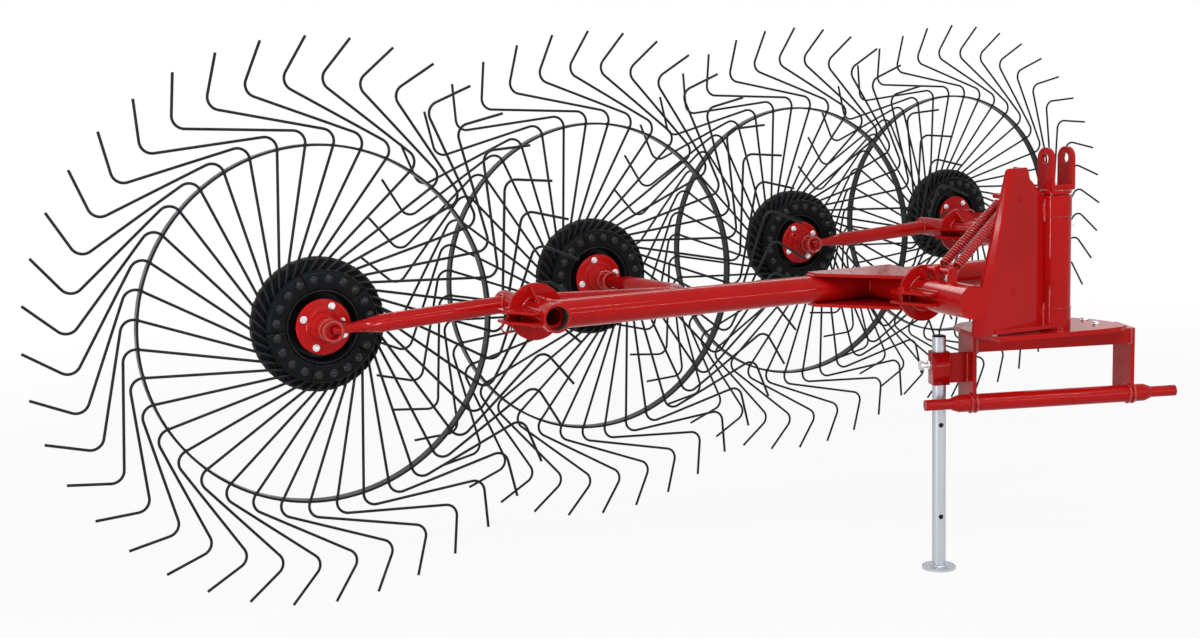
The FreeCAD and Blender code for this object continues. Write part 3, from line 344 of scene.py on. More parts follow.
def node_group(name, inputs, outputs):
    """Node group with its sockets, and its nodes for what goes in and what comes out."""
    tree = bpy.data.node_groups.new(name, "ShaderNodeTree")
    for label, kind, value in inputs:
        socket = tree.interface.new_socket(name=label, in_out="INPUT", socket_type=kind)
        socket.default_value = value
    for label, kind in outputs:
        tree.interface.new_socket(name=label, in_out="OUTPUT", socket_type=kind)
    return tree, tree.nodes.new("NodeGroupInput"), tree.nodes.new("NodeGroupOutput")


def patchy_surface():
    """Node group: patches of a second colour, uneven roughness and a fine grain."""
    tree = bpy.data.node_groups.get("Patchy Surface")
    if tree:
        return tree
    tree, given, result = node_group(
        "Patchy Surface",
        (("Colour", COLOUR, (0.5, 0.5, 0.5, 1)), ("Patch Colour", COLOUR, (0.3, 0.3, 0.3, 1)),
         ("Patch Scale", NUMBER, 8.0), ("Patch Cover", NUMBER, 0.3), ("Rough Low", NUMBER, 0.3),
         ("Rough High", NUMBER, 0.5), ("Grain Scale", NUMBER, 400.0)),
        (("Colour", COLOUR), ("Roughness", NUMBER), ("Grain", NUMBER)))
    where = add_node(tree, "TexCoord")
    patches = add_node(tree, "TexNoise", {"Detail": 6.0, "Roughness": 0.62})
    grain = add_node(tree, "TexNoise", {"Detail": 3.0})
    limits = add_node(tree, "MapRange", {"From Min": 0.38, "From Max": 0.68})
    cover = add_node(tree, "Math", operation="MULTIPLY")
    blend = add_node(tree, "Mix", data_type="RGBA")
    rough = add_node(tree, "MapRange", {"From Min": 0.3, "From Max": 0.7})
    join(tree, (where, "Object", patches, "Vector"), (given, "Patch Scale", patches, "Scale"),
         (where, "Object", grain, "Vector"), (given, "Grain Scale", grain, "Scale"),
         (patches, "Fac", limits, "Value"), (limits, "Result", cover, 0),
         (given, "Patch Cover", cover, 1), (cover, 0, blend, "Factor"),
         (given, "Colour", blend, "A"), (given, "Patch Colour", blend, "B"),
         (patches, "Fac", rough, "Value"), (given, "Rough Low", rough, "To Min"),
         (given, "Rough High", rough, "To Max"), (blend, "Result", result, "Colour"),
         (rough, "Result", result, "Roughness"), (grain, "Fac", result, "Grain"))
    return tree


def spangle():
    """Node group: the crystal pattern of galvanised steel, as a mask."""
    tree, given, result = node_group("Zinc Spangle", (("Scale", NUMBER, 90.0),),
                                     (("Mask", NUMBER),))
    where = add_node(tree, "TexCoord")
    cells = add_node(tree, "TexVoronoi")
    split = add_node(tree, "SeparateColor")
    join(tree, (where, "Object", cells, "Vector"), (given, "Scale", cells, "Scale"),
         (cells, "Color", split, "Color"), (split, "Red", result, "Mask"))
    return tree


# colour property, patch colour factor, patch scale, cover, rough low, rough high, grain scale,
# grain depth in metres, metallic, specular level, coat
FINISHES = {
    "red enamel": ("enamel", (0.72, 0.6, 0.6), 4.0, 0.5, 0.06, 0.12, 420.0, 0.00010, 0.0, 0.08, 0.10),
    "red casting": ("enamel", (0.75, 0.6, 0.6), 26.0, 0.5, 0.12, 0.22, 260.0, 0.0006, 0.0, 0.08, 0.10),
    "red weld": ("enamel", (0.6, 0.5, 0.5), 60.0, 0.6, 0.08, 0.2, 500.0, 0.0003, 0.0, 0.3, 0.5),
    "tyre rubber": ("rubber", (1.8, 1.8, 1.8), 14.0, 0.6, 0.4, 0.6, 700.0, 0.0003, 0.0, 0.045, 0.0),
    "clamp rubber": ("rubber", (1.7, 1.8, 1.9), 40.0, 0.6, 0.26, 0.45, 900.0, 0.0002, 0.0, 0.06, 0.0),
    "tine steel": ("wire", (0.55, 0.5, 0.5), 18.0, 0.6, 0.22, 0.42, 600.0, 0.0001, 0.0, 0.12, 0.0),
    "black steel": ("wire", (0.5, 0.5, 0.5), 30.0, 0.5, 0.2, 0.36, 500.0, 0.0002, 0.0, 0.16, 0.0),
    "bolt steel": ("wire", (0.6, 0.6, 0.6), 30.0, 0.5, 0.12, 0.24, 500.0, 0.0002, 0.0, 0.2, 0.12),
    "zinc": ("zinc", (0.6, 0.6, 0.56), 60.0, 0.5, 0.36, 0.52, 700.0, 0.0001, 0.9, 0.3, 0.0),
    "galvanised": ("galvanised", (0.7, 0.75, 0.8), 22.0, 0.55, 0.3, 0.46, 420.0, 0.0002, 0.7, 0.3, 0.0),
    "bore steel": ("bore", (0.35, 0.32, 0.3), 40.0, 0.7, 0.3, 0.5, 300.0, 0.0002, 0.7, 0.3, 0.0),
}


def finish(name):
    """Material of that name, made on first use."""
    material = bpy.data.materials.get(name)
    if material:
        return material
    (colour, factor, patch_scale, cover, low, high, grain_scale, depth, metallic,
     specular, coat) = FINISHES[name]
    base = tuple(getattr(colours(), colour)) + (1.0,)
    patch = tuple(min(1.0, c * f) for c, f in zip(base, factor)) + (1.0,)
    material = bpy.data.materials.new(name)
    material.use_nodes = True
    tree = material.node_tree
    shader = tree.nodes["Principled BSDF"]
    surface = add_node(tree, "Group", {
        "Colour": base, "Patch Colour": patch, "Patch Scale": patch_scale, "Patch Cover": cover,
        "Rough Low": low, "Rough High": high, "Grain Scale": grain_scale,
    }, node_tree=patchy_surface())
    bump = add_node(tree, "Bump", {"Strength": 0.5, "Distance": depth})
    set_values(shader, {"Metallic": metallic, "Specular IOR Level": specular})
    if coat:
        set_values(shader, {"Coat Weight": coat, "Coat Roughness": 0.06})
    join(tree, (surface, "Grain", bump, "Height"), (bump, "Normal", shader, "Normal"),
         (surface, "Roughness", shader, "Roughness"))
    if name == "galvanised":
        crystals = add_node(tree, "Group", node_tree=spangle())
        bright = tuple(min(1.0, c * 1.35) for c in base[:3]) + (1.0,)
        lift = add_node(tree, "Mix", {"B": bright}, data_type="RGBA")
        join(tree, (crystals, "Mask", lift, "Factor"), (surface, "Colour", lift, "A"),
             (lift, "Result", shader, "Base Color"))
    else:
        join(tree, (surface, "Colour", shader, "Base Color"))
    return material


def paint(node, material):
    """Give a CAD node its finish."""
    mesh = NODES[node].data
    mesh.materials.clear()
    mesh.materials.append(finish(material))


# ---------------------------------------------------------------- settings
def colour_field(name, description, default):
    """Colour that the user can change."""
    return bpy.props.FloatVectorProperty(name=name, description=description, subtype="COLOR",
                                         size=3, min=0, max=1, default=default)


def length_field(name, description, default):
    """Length that the user can change, in metres."""
    return bpy.props.FloatProperty(name=name, description=description, default=default,
                                   unit="LENGTH")


class HayRakeColours(bpy.types.PropertyGroup):
    """Colours of the rake and its surroundings."""
    enamel: colour_field("Red enamel", "Paint of the frame, arms and hubs",
                         (0.45, 0.0055, 0.0050))
    rubber: colour_field("Rubber", "Rubber of the wheel centres", (0.0042, 0.0048, 0.0052))
    wire: colour_field("Tine steel", "Spring steel of tines and rings", (0.012, 0.0135, 0.017))
    zinc: colour_field("Zinc plate", "Plated bolts, pins and nipples", (0.22, 0.235, 0.26))
    galvanised: colour_field("Galvanised tube", "Hot-dipped stand leg", (0.150, 0.190, 0.240))
    bore: colour_field("Bore steel", "Greased steel inside the sleeves", (0.10, 0.10, 0.10))
    floor: colour_field("Floor", "Plain pale floor", (0.66, 0.66, 0.66))


class HayRakeSizes(bpy.types.PropertyGroup):
    """Sizes of the added pieces."""
    clamp_bolts: bpy.props.IntProperty(
        name="Clamp bolts", description="Bolts around each clamp ring", default=20, min=4, max=40)
    clamp_bolt_circle: length_field("Clamp bolt circle", "Radius of the circle of clamp bolts",
                                    0.118)
    flange_bolt_circle: length_field("Flange bolt circle", "Radius of the circle of hub bolts",
                                     0.054)
    flange_bolt: length_field("Flange bolt", "Radius over the corners of a hub bolt head", 0.0085)
    weld_width: length_field("Weld width", "Width of the weld beads", 0.008)
    weld_ripple: length_field("Weld ripple", "Pitch of the ripples in a weld bead", 0.0042)
    spring_wire: length_field("Spring wire", "Wire of the lift springs", 0.0066)
    spring_radius: length_field("Spring radius", "Middle of the spring's wire, from its axis",
                                0.0090)
    ring_weld: length_field("Ring weld", "Weld drop that holds a tine on its ring", 0.0058)


def colours():
    """The rake's colours."""
    return bpy.context.scene.hay_rake_colours


def sizes():
    """The sizes of the added pieces."""
    return bpy.context.scene.hay_rake_sizes


# ---------------------------------------------------------------- wheels
SPIN_AXIS = Matrix.Rotation(-math.pi / 2, 4, "X")   # turns lathe height into wheel y
HUB_BOLT_TURN = {1: 66.0, 2: 14.0, 3: 30.0, 4: 52.0}
HUB_BOLTS = 4
HUB_NIPPLE_RADIUS, HUB_NIPPLE_TURN = 0.050, -49.0   # the turn is from the first hub bolt
CLAMP_JOINTS = (38.0, 110.0, 182.0, 254.0, 326.0)
INNER_JOINTS = (2.0, 69.0, 146.0, 222.0, 291.0)
JOINT_GAP = 0.3            # from a joint to the segment on each side, in degrees
SEGMENT_STEP = 3           # degrees between two rows of points on a segment
CLAMP_FACE = -0.041
FLANGE_FACE = -0.0412
TREAD_LUGS = 30
LUG_TURN = 7.0             # degrees that a tread lug takes up
TINE_COUNT = 40
TINE_Y = -0.0175
RING_CROSSING = -25.0      # where a tine crosses its ring, from below the axle
CARCASS = mm((92, -10), (95, -14), (112, -14), (114, -12.5), (118, -12.5), (120, -14),
             (150, -14), (158, -11), (160, -7), (163, -5), (164, 2), (167, 9), (167, 25),
             (164, 32), (163, 38), (160, 41), (158, 45), (150, 48), (120, 48), (118, 46.5),
             (114, 46.5), (112, 48), (95, 48), (92, 44))


def arc_block(shape, profile, start, end, steps, material=0, smooth=True):
    """Block bent round the axle between two angles, from a profile of (radius, y)."""
    rings = []
    for k in range(steps + 1):
        degrees = start + (end - start) * k / steps
        rings.append([shape.verts.new(polar(radius, degrees, y)) for radius, y in profile])
    for low, high in zip(rings, rings[1:]):
        skin(shape, low, high, material, smooth)
    for ring in (rings[0], rings[-1]):
        shape.faces.new(ring).material_index = material


def wheel_centre(number):
    """Rubber centre of a wheel: moulded carcass and two layers of clamp segments."""
    shape = bmesh.new()
    lathe(shape, soften(CARCASS, 0.0025), SPIN_AXIS, 120, closed=True)
    lug = soften(mm((160, -9), (167, 3), (167, 31), (160, 43), (156, 43), (156, -9)), 0.002,
                 steps=2)
    for k in range(TREAD_LUGS):
        start = 360.0 * k / TREAD_LUGS
        arc_block(shape, lug, start, start + LUG_TURN, 3)
    front = soften(mm((93, -31.4), (92, -38), (95, -41), (129, -41), (136, -38), (140, -32.4),
                      (139, -31.2)), 0.002, steps=2)
    back = soften(mm((93, -21.2), (92, -30.6), (139, -30.6), (140.4, -28), (140.4, -24),
                     (139, -21.2)), 0.0015, steps=2)
    for joints, profile in ((CLAMP_JOINTS, front), (INNER_JOINTS, back)):
        for start, end in zip(joints, joints[1:] + (joints[0] + 360.0,)):
            arc_block(shape, profile, start + JOINT_GAP, end - JOINT_GAP,
                      int((end - start) / SEGMENT_STEP), 1)
    wheel_piece(number, "rubber", shape, ("tyre rubber", "clamp rubber"), "tyre")


def clamp_bolts(number):
    """Domed bolt heads round the clamp ring, with their washers."""
    shape = bmesh.new()
    count = sizes().clamp_bolts
    dome = soften(mm((10.5, 0), (10.5, 1.0), (9.6, 1.6), (7.6, 1.8), (7.2, 3.2), (5.4, 4.9),
                     (2.8, 5.7), (0, 5.9)), 0.0008, False, 2)
    for k in range(count):
        point = polar(sizes().clamp_bolt_circle, 360.0 * (k + 0.5) / count, CLAMP_FACE)
        lathe(shape, dome, facing(point, FACE_FRONT), 18)
    wheel_piece(number, "clamp_bolts", shape, ("bolt steel",))


def hub(number):
    """Cast hub with its stepped boss and flange, and the dished rim behind it."""
    shape = bmesh.new()
    casting = mm((15.2, -77), (21, -77), (26, -76), (28, -73), (28, -68), (30.5, -66),
                 (30.5, -64), (36, -58), (39, -54), (39, -49), (41.5, -48), (41.5, -45),
                 (46, -41.6), (64, -41), (69, -39), (69, -35), (66, -33), (40, -33), (39, -28),
                 (39, 21), (36, 25), (15.2, 25))
    lathe(shape, soften(casting, 0.0025), SPIN_AXIS, 72, closed=True)
    rim = mm((39.5, 14), (82, 14), (86, 10), (86, -35), (89, -38), (92, -36), (92, 43), (89, 45),
             (86, 43), (86, 24), (82, 20), (39.5, 20))
    lathe(shape, soften(rim, 0.002), SPIN_AXIS, 96, closed=True, material=1)
    wheel_piece(number, "casting", shape, ("red casting", "black steel"), "hub")


def hub_bolts(number):
    """Plated bolts and the grease nipple on the hub flange."""
    shape = bmesh.new()
    first = HUB_BOLT_TURN[number]
    for k in range(HUB_BOLTS):
        point = polar(sizes().flange_bolt_circle, first + 360.0 * k / HUB_BOLTS, FLANGE_FACE)
        bolt(shape, point, FACE_FRONT, sizes().flange_bolt)
    nipple(shape, polar(HUB_NIPPLE_RADIUS, first + HUB_NIPPLE_TURN, FLANGE_FACE), FACE_FRONT)
    wheel_piece(number, "hub_bolts", shape, ("zinc",))


def ring_welds(number):
    """Weld drops that hold the tines on their ring."""
    shape = bmesh.new()
    size = sizes().ring_weld
    drop = [(0, -size), (size * 0.6, -size * 0.8), (size, -size * 0.2), (size * 0.9, size * 0.4),
            (size * 0.5, size * 0.85), (0, size)]
    for k in range(TINE_COUNT):
        turn = -90.0 + RING_CROSSING + 360.0 * k / TINE_COUNT
        point = polar(RING_RADIUS, turn, TINE_Y + 0.003)
        lathe(shape, drop, facing(point, polar(1.0, turn)), 10)
    wheel_piece(number, "ring_welds", shape, ("tine steel",))


def axle_end(number):
    """Castle nut, washer and split pin behind the hub."""
    shape = bmesh.new()
    place = facing((0, 0.034, 0), FACE_BACK)
    lathe(shape, mm((0, 0), (18, 0), (18, 9), (16.5, 10.5), (0, 10.5)), place, 6, smooth=False)
    for step in (mm((14, 10), (14, 15), (12.5, 16.2), (0, 16.2)),
                 mm((9.6, 16), (9.6, 19.5), (8, 21), (0, 21))):
        lathe(shape, soften(step, 0.001, False), place, 24)
    pin = [Vector((x, 0.0475, 0)) for x in (-0.021, -0.012, 0.0, 0.012, 0.019)]
    sweep(shape, pin + [Vector((0.0225, 0.0455, 0)), Vector((0.0235, 0.040, 0))], 0.0019, 8)
    finish_piece("wheel_%d_axle_nut" % number, shape, CARRIER[number], ("zinc",),
                 place=WHEELS[number])


# ---------------------------------------------------------------- welds
BEAD_LIFT = 0.0012         # of a bead's middle over the tube that it runs round
RIB_SIDES = (-0.0185, -0.0115)                      # from a sleeve's axis, along x
GUSSET_ENDS = (-0.191, 0.061)                       # from the centre pivot, along x
SADDLE_POINTS = 48


def saddle(centre_x, y, z, tube_radius, shaft_radius, side, grow):
    """Line where a tube along x meets a round shaft along y."""
    points = []
    for k in range(SADDLE_POINTS):
        turn = 2 * math.pi * k / SADDLE_POINTS
        dy, dz = (tube_radius + grow) * math.sin(turn), (tube_radius + grow) * math.cos(turn)
        reach = math.sqrt(max(0.0, (shaft_radius + grow) ** 2 - dz ** 2))
        points.append(Vector((centre_x + side * reach, y + dy, z + dz)))
    return points


def sleeve_welds(shape, x, disc_y, radius):
    """Beads round a pivot disc, along its lugs and beside its rib."""
    width = sizes().weld_width
    grow = width * 0.22
    bead(shape, circle((x, disc_y - DISC_FACE, PIVOT_Z), FACE_BACK, radius + grow), width, True)
    drop = LUG_HALF_SPACE + 0.003 + grow * 0.6
    reach = math.sqrt(radius ** 2 - drop ** 2)
    for side in (-1, 1):
        z = PIVOT_Z + side * drop
        bead(shape, [(x - reach - grow, disc_y - LUG_LENGTH + 0.006, z),
                     (x - reach - grow, disc_y - 0.008, z)], width * 0.85)
        for offset in RIB_SIDES:
            foot = Vector((x + offset, disc_y - 0.008, PIVOT_Z + radius - 0.003))
            bead(shape, [foot, foot + Vector((0, -0.044, 0.0))], width * 0.5)


def beam_welds():
    """Beads of the main beam and of the two end sleeves."""
    shape = bmesh.new()
    width = sizes().weld_width
    sleeve_welds(shape, FRONT_X, FRONT_DISC, BEAM_RADIUS)
    sleeve_welds(shape, REAR_X, REAR_DISC, BEAM_RADIUS)
    for x, side in ((FRONT_X, 1), (CENTRE_X, -1), (CENTRE_X, 1)):
        bead(shape, saddle(x, BEAM_Y, PIVOT_Z, BEAM_RADIUS, BEAM_RADIUS, side, BEAD_LIFT), width,
             True)
    for side in (-1, 1):
        z = PIVOT_Z + side * (BEAM_RADIUS + 0.001)
        for end in GUSSET_ENDS:
            x = CENTRE_X + end
            bead(shape, [(x, BEAM_Y - 0.016, z), (x, BEAM_Y + 0.018, z)], width)
    bead(shape, circle((REAR_X, REAR_DISC - SLEEVE_LENGTH, PIVOT_Z), FACE_BACK,
                       BEAM_RADIUS + 0.001), width, True)
    red_piece("beam_welds", shape, "main_beam", "red weld")


def rocker_welds(name, pivot_x, disc_y):
    """Beads where the arms and the thrust collar meet a pivot shaft."""
    shape = bmesh.new()
    width = sizes().weld_width
    arm_y = disc_y + ARM_BEHIND_DISC
    for side in (-1, 1):
        bead(shape, saddle(pivot_x, arm_y, PIVOT_Z, ARM_RADIUS, SHAFT_RADIUS, side, BEAD_LIFT),
             width * 0.9, True)
    bead(shape, circle((pivot_x, disc_y + 0.0195, PIVOT_Z), FACE_BACK, SHAFT_RADIUS + 0.001),
         width * 0.8, True)
    red_piece(name + "_rocker_welds", shape, name + "_rocker", "red weld")


def stub_welds(number):
    """Lumpy beads where the flattened arm end meets its stub axle."""
    shape = bmesh.new()
    width = sizes().weld_width * 1.2
    for y in (-0.1255, -0.0885):
        bead(shape, circle((0, y, 0), FACE_BACK, 0.0235, 40), width, True)
    red_piece("wheel_%d_axle_welds" % number, shape, CARRIER[number], "red weld",
              place=WHEELS[number])


def tower_welds():
    """Beads of the swing tower and the centre pivot sleeve."""
    shape = bmesh.new()
    width = sizes().weld_width
    sleeve_welds(shape, CENTRE_X, CENTRE_DISC, CENTRE_RADIUS)
    for low, high in ((0.632, 0.690), (0.892, 0.950)):
        bead(shape, [(-0.0395, -0.0045, low), (-0.0395, -0.0045, high)], width * 1.2)
    bead(shape, [(-0.0245, 0.0335, 0.632), (-0.0245, 0.0335, 0.950)], width)
    for z in (0.6755, 0.905):
        bead(shape, circle((0, 0, z), FACE_UP, POST_RADIUS - 0.0003), width * 0.35, True)
    red_piece("tower_welds", shape, "tower", "red weld")


COLLAR_HALF = 0.0225       # half width of the square stand collar
COLLAR_PLAY = 0.0007       # gap between the collar and the stand leg
COLLAR_POINTS = 64
COLLAR_TAB_Y = 0.042       # middle of the tab that carries the stand collar
COLLAR_TAB_HALF = 0.006    # half its thickness
CLAMP_BOLT_Z = 0.534
FRAME_X = 0.205            # inner face of the uprights
FRAME_OUTER = 0.215        # and their outer face
FRAME_FRONT = -0.001
FRAME_TOP = 0.610
LINK_Z = 0.438
LINK_Y = 0.016


def headstock_welds():
    """Beads of the headstock frame."""
    shape = bmesh.new()
    width = sizes().weld_width
    for side in (-1, 1):
        x = side * (FRAME_X - 0.001)
        bead(shape, [(x, FRAME_FRONT - 0.0005, FRAME_TOP - 0.001),
                     (x, FRAME_FRONT - 0.0005, FRAME_TOP - 0.040),
                     (x, FRAME_FRONT + 0.057, FRAME_TOP - 0.0405)], width)
        for offset in (-0.0015, 0.0115):
            bead(shape, circle((side * (FRAME_X + offset), LINK_Y, LINK_Z), FACE_SIDE,
                               ARM_RADIUS + BEAD_LIFT), width * 0.9, True)
    for y in (COLLAR_TAB_Y - COLLAR_TAB_HALF, COLLAR_TAB_Y + COLLAR_TAB_HALF):
        x = -FRAME_OUTER - 0.0005
        bead(shape, [(x, y, 0.489), (x, y, 0.563)], width * 0.8)
    bead(shape, circle((0, 0, 0.970), FACE_UP, 0.0372), width * 0.7, True)
    red_piece("headstock_welds", shape, "headstock", "red weld", place=HEAD)


# ---------------------------------------------------------------- tower, springs and small parts
PLATE_THICKNESS = 0.008
FLANGE_BACK = 0.010
SLANT_FROM = Vector((-0.268, -0.042))   # front plate's outer edge
SLANT_TO = Vector((-0.038, -0.002))     # where it meets the sleeve
REAR_PLATE_Y = 0.024
CLOSING_BACK_X = -0.106    # the closing strip's back edge goes no further out than this
FLOAT_PIN_X = -0.150


def slanted(x):
    """Front of the front plate, which runs in towards the sleeve."""
    return SLANT_FROM.y + (x - SLANT_FROM.x) * (SLANT_TO.y - SLANT_FROM.y) / (
        SLANT_TO.x - SLANT_FROM.x)


def bevel_sharp(shape, width=0.0012):
    """Round the sharp edges of a plate a little."""
    bmesh.ops.recalc_face_normals(shape, faces=shape.faces)
    bmesh.ops.bevel(shape, geom=[e for e in shape.edges if e.calc_face_angle(0) > 0.5],
                    offset=width, segments=2, affect="EDGES")


def thicken(shape, thickness):
    """Turn flat faces into a plate."""
    made = bmesh.ops.extrude_face_region(shape, geom=shape.faces[:])
    moved = [v for v in made["geom"] if isinstance(v, bmesh.types.BMVert)]
    bmesh.ops.translate(shape, verts=moved, vec=thickness)


def tower_front():
    """Front plate of the tower: a flat face with its outer edge bent back."""
    face = mm((-38, 627.4), (-246, 627.4), (-244, 660), (-142, 1031), (-101, 1031), (-94, 1024),
              (-89, 1002), (-51, 968), (-38, 957))
    flange = mm((-246, 627.4), (-276, 627.4), (-272, 668), (-161, 1028), (-156, 1031),
                (-142, 1031), (-244, 660))
    shape = bmesh.new()
    verts = {}
    for outline, bent in ((face, False), (flange, True)):
        ring = []
        for x, z in outline:
            if (x, z) not in verts:
                back = FLANGE_BACK if bent else 0.0
                verts[(x, z)] = shape.verts.new(Vector((x, slanted(x) + back, z)))
            ring.append(verts[(x, z)])
        shape.faces.new(ring)
    thicken(shape, Vector((0, PLATE_THICKNESS, 0)))
    bevel_sharp(shape)
    red_piece("tower_front_face", shape, "tower", replaces=("tower_front_plate",))


def tower_rear():
    """Rear plate of the tower, with the strips that close its top and its back edge."""
    face = mm((-26, 627.4), (-178, 627.4), (-212, 672), (-115, 1022), (-108, 1031), (-101, 1031),
              (-94, 1024), (-89, 1002), (-51, 968), (-26, 957))
    shape = bmesh.new()
    shape.faces.new([shape.verts.new(Vector((x, REAR_PLATE_Y, z))) for x, z in face])
    thicken(shape, Vector((0, PLATE_THICKNESS, 0)))
    bevel_sharp(shape)
    closing = bmesh.new()
    edge = mm((-134, 1024), (-103, 1024), (-98, 1020), (-95, 1000), (-57, 966), (-42, 953))
    rows = [[closing.verts.new(Vector((x, slanted(x) + PLATE_THICKNESS * 0.6, z))),
             closing.verts.new(Vector((max(x, CLOSING_BACK_X), REAR_PLATE_Y + 0.003, z)))]
            for x, z in edge]
    for low, high in zip(rows, rows[1:]):
        closing.faces.new((low[0], low[1], high[1], high[0]))
    thicken(closing, Vector((0.003, 0, 0.006)))
    merge(shape, closing)
    red_piece("tower_rear_face", shape, "tower", replaces=("tower_rear_plate",))


def float_arm():
    """Float arm with its eye."""
    shape = bmesh.new()
    stations = ((CENTRE_X + 0.036, -0.004, 0.0238), (-0.268, -0.003, 0.0238),
                (-0.246, 0.0, 0.0225), (-0.224, 0.004, 0.0190), (-0.168, 0.005, 0.0175))
    sweep(shape, [Vector((x, y, PIVOT_Z)) for x, y, _ in stations],
          [radius for _, _, radius in stations], 36)
    eye = soften(mm((12.6, -17), (25, -17), (26, -16), (26, 16), (25, 17), (12.6, 17)), 0.001)
    lathe(shape, eye, facing((FLOAT_PIN_X, 0.005, PIVOT_Z), FACE_BACK), 48, closed=True)
    red_piece("float_arm_tube", shape, "tower", replaces=("float_arm",))


def float_pin():
    """Float pin with its flush turned end."""
    shape = bmesh.new()
    end = soften(mm((0, 0), (11.0, 0), (12.4, 1.4), (12.4, 63), (11, 64.4), (0, 64.4)), 0.0006,
                 False)
    front = slanted(FLOAT_PIN_X) - 0.0012
    lathe(shape, end, facing((FLOAT_PIN_X, front, PIVOT_Z), FACE_BACK), 40)
    red_piece("float_pin_turned", shape, "tower", "red casting", ("float_pin",))


def spring_bar():
    """Upper spring bar through both tower plates."""
    shape = bmesh.new()
    front = slanted(SPRING_HIGH.x) - 0.003
    back = SPRING_BAR_BACK - front
    bar = soften([(0, 0), (0.006, 0), (0.007, 0.001), (0.007, back - 0.001), (0.006, back),
                  (0, back)], 0.0006, False)
    lathe(shape, bar, facing((SPRING_HIGH.x, front, SPRING_HIGH.z), FACE_BACK), 28)
    red_piece("spring_bar_turned", shape, "tower", replaces=("upper_spring_bar",))


SPRING_LOW = Vector((CENTRE_X, 0.0, 0.790865))
SPRING_HIGH = Vector((-0.122, 0.0, 0.957))
SPRING_BAR_BACK = 0.087
ANCHOR_RADIUS = 0.007      # of both spring bars
HOOK_TURN = 330            # degrees that a hook goes round its bar
HOOK_STEPS = 21            # steps round a hook
LEAD_STEPS = 6             # steps between a hook and the coils
COIL_STEPS = 20            # steps round a coil
COIL_SPACING = 1.14        # pitch of the coils, in wire thicknesses


def hook_turns(first):
    """Angles round a spring's hook, in radians."""
    return [math.radians(first + HOOK_TURN * k / HOOK_STEPS) for k in range(HOOK_STEPS + 1)]


def lift_spring(name, low_y, high_y):
    """Close-coiled tension spring with a hook round each spring bar."""
    wire, radius = sizes().spring_wire, sizes().spring_radius
    low, high = SPRING_LOW + Vector((0, low_y, 0)), SPRING_HIGH + Vector((0, high_y, 0))
    axis = high - low
    length = axis.length
    up = axis.normalized()
    side = Vector((0, 1, 0)).cross(up).normalized()
    across = up.cross(side)
    eye = ANCHOR_RADIUS + wire / 2 + 0.0004
    margin = eye + wire + 0.004
    turns = int((length - 2 * margin) / (wire * COIL_SPACING))
    pitch = (length - 2 * margin) / turns
    leads = [k / LEAD_STEPS for k in range(1, LEAD_STEPS)]
    path = [low - side * (eye * math.sin(turn)) - up * (eye * math.cos(turn))
            for turn in hook_turns(-60)]
    coils = []
    for k in range(turns * COIL_STEPS + 1):
        turn = 2 * math.pi * k / COIL_STEPS
        out = (side * math.cos(turn) + across * math.sin(turn)) * radius
        coils.append(low + up * (margin + pitch * k / COIL_STEPS) + out)
    path += [path[-1].lerp(coils[0], f * f) for f in leads] + coils
    hook = [low + up * (length + eye * math.cos(turn)) + side * (eye * math.sin(turn))
            for turn in hook_turns(-120)]
    path += [coils[-1].lerp(hook[0], 1 - (1 - f) ** 2) for f in leads] + hook
    shape = bmesh.new()
    sweep(shape, path, wire / 2, 10)
    red_piece(name + "_coils", shape, "tower", "red weld", (name,))


def sleeve_liners():
    """Bare steel bore that shows in the open ends of the pivot sleeves."""
    shape = bmesh.new()
    for x, disc in ((FRONT_X, FRONT_DISC), (REAR_X, REAR_DISC)):
        lathe(shape, mm((29.45, 0.6), (28.4, 1.6), (28.4, 29), (29.45, 29)),
              facing((x, disc - SLEEVE_LENGTH, PIVOT_Z), FACE_BACK), 64, closed=True)
    finish_piece("sleeve_liners", shape, "main_beam", ("bore steel",), place=GANG)


def shaft_plugs():
    """Welded plugs in the rear ends of the pivot shafts."""
    for name, x, disc in (("front", FRONT_X, FRONT_DISC), ("rear", REAR_X, REAR_DISC)):
        shape = bmesh.new()
        lathe(shape, mm((0, 0), (19, 0), (20, 1), (20, 5), (0, 5)),
              facing((x, disc + 0.199, PIVOT_Z), FACE_BACK), 40)
        red_piece(name + "_shaft_plug", shape, name + "_rocker")


def lug_clip():
    """Lock pin and wire ring clip in the lugs of the front pivot."""
    shape = bmesh.new()
    tip = Vector((FRONT_X - 0.080, FRONT_DISC - 0.024, PIVOT_Z - 0.016))
    ring = circle(tip + Vector((-0.008, -0.006, -0.012)), (0.5, 0.8, 0.15), 0.012)
    sweep(shape, ring, 0.002, 8, True)
    sweep(shape, [tip + Vector((0, 0, 0.036)), tip + Vector((0, 0, -0.006))], 0.0052, 12)
    red_piece("front_lug_clip", shape, "main_beam")


def tower_hardware():
    """Grease nipples of the tower and the centre pivot."""
    shape = bmesh.new()
    nipple(shape, (0.0372, -0.0055, 0.880), (0.985, -0.17, 0))
    nipple(shape, (CENTRE_X + 0.012, 0.020, PIVOT_Z + CENTRE_RADIUS - 0.003), (0.3, 0, 0.95))
    finish_piece("tower_hardware", shape, "tower", ("zinc",), place=GANG)


def plate_bolts():
    """Bolts on top of the swivel plate."""
    shape = bmesh.new()
    for x, y in ((0.118, 0.020), (0.118, 0.088), (-0.140, 0.022)):
        bolt(shape, (x, y, SWING.z), FACE_UP, 0.010, 0.5)
    finish_piece("plate_bolts", shape, "headstock", ("zinc",), place=HEAD)


def pin_cones():
    """Shoulder rings of the cross tube, at the roots of the link pins."""
    shape = bmesh.new()
    ring = soften(mm((14.1, -2), (22, -2), (22, 1), (17, 15), (15, 19), (14.1, 19)), 0.0012)
    for side in (-1, 1):
        lathe(shape, ring, facing((side * 0.247, LINK_Y, LINK_Z), (side, 0, 0)), 48, closed=True)
    red_piece("pin_cones", shape, "headstock", place=HEAD)


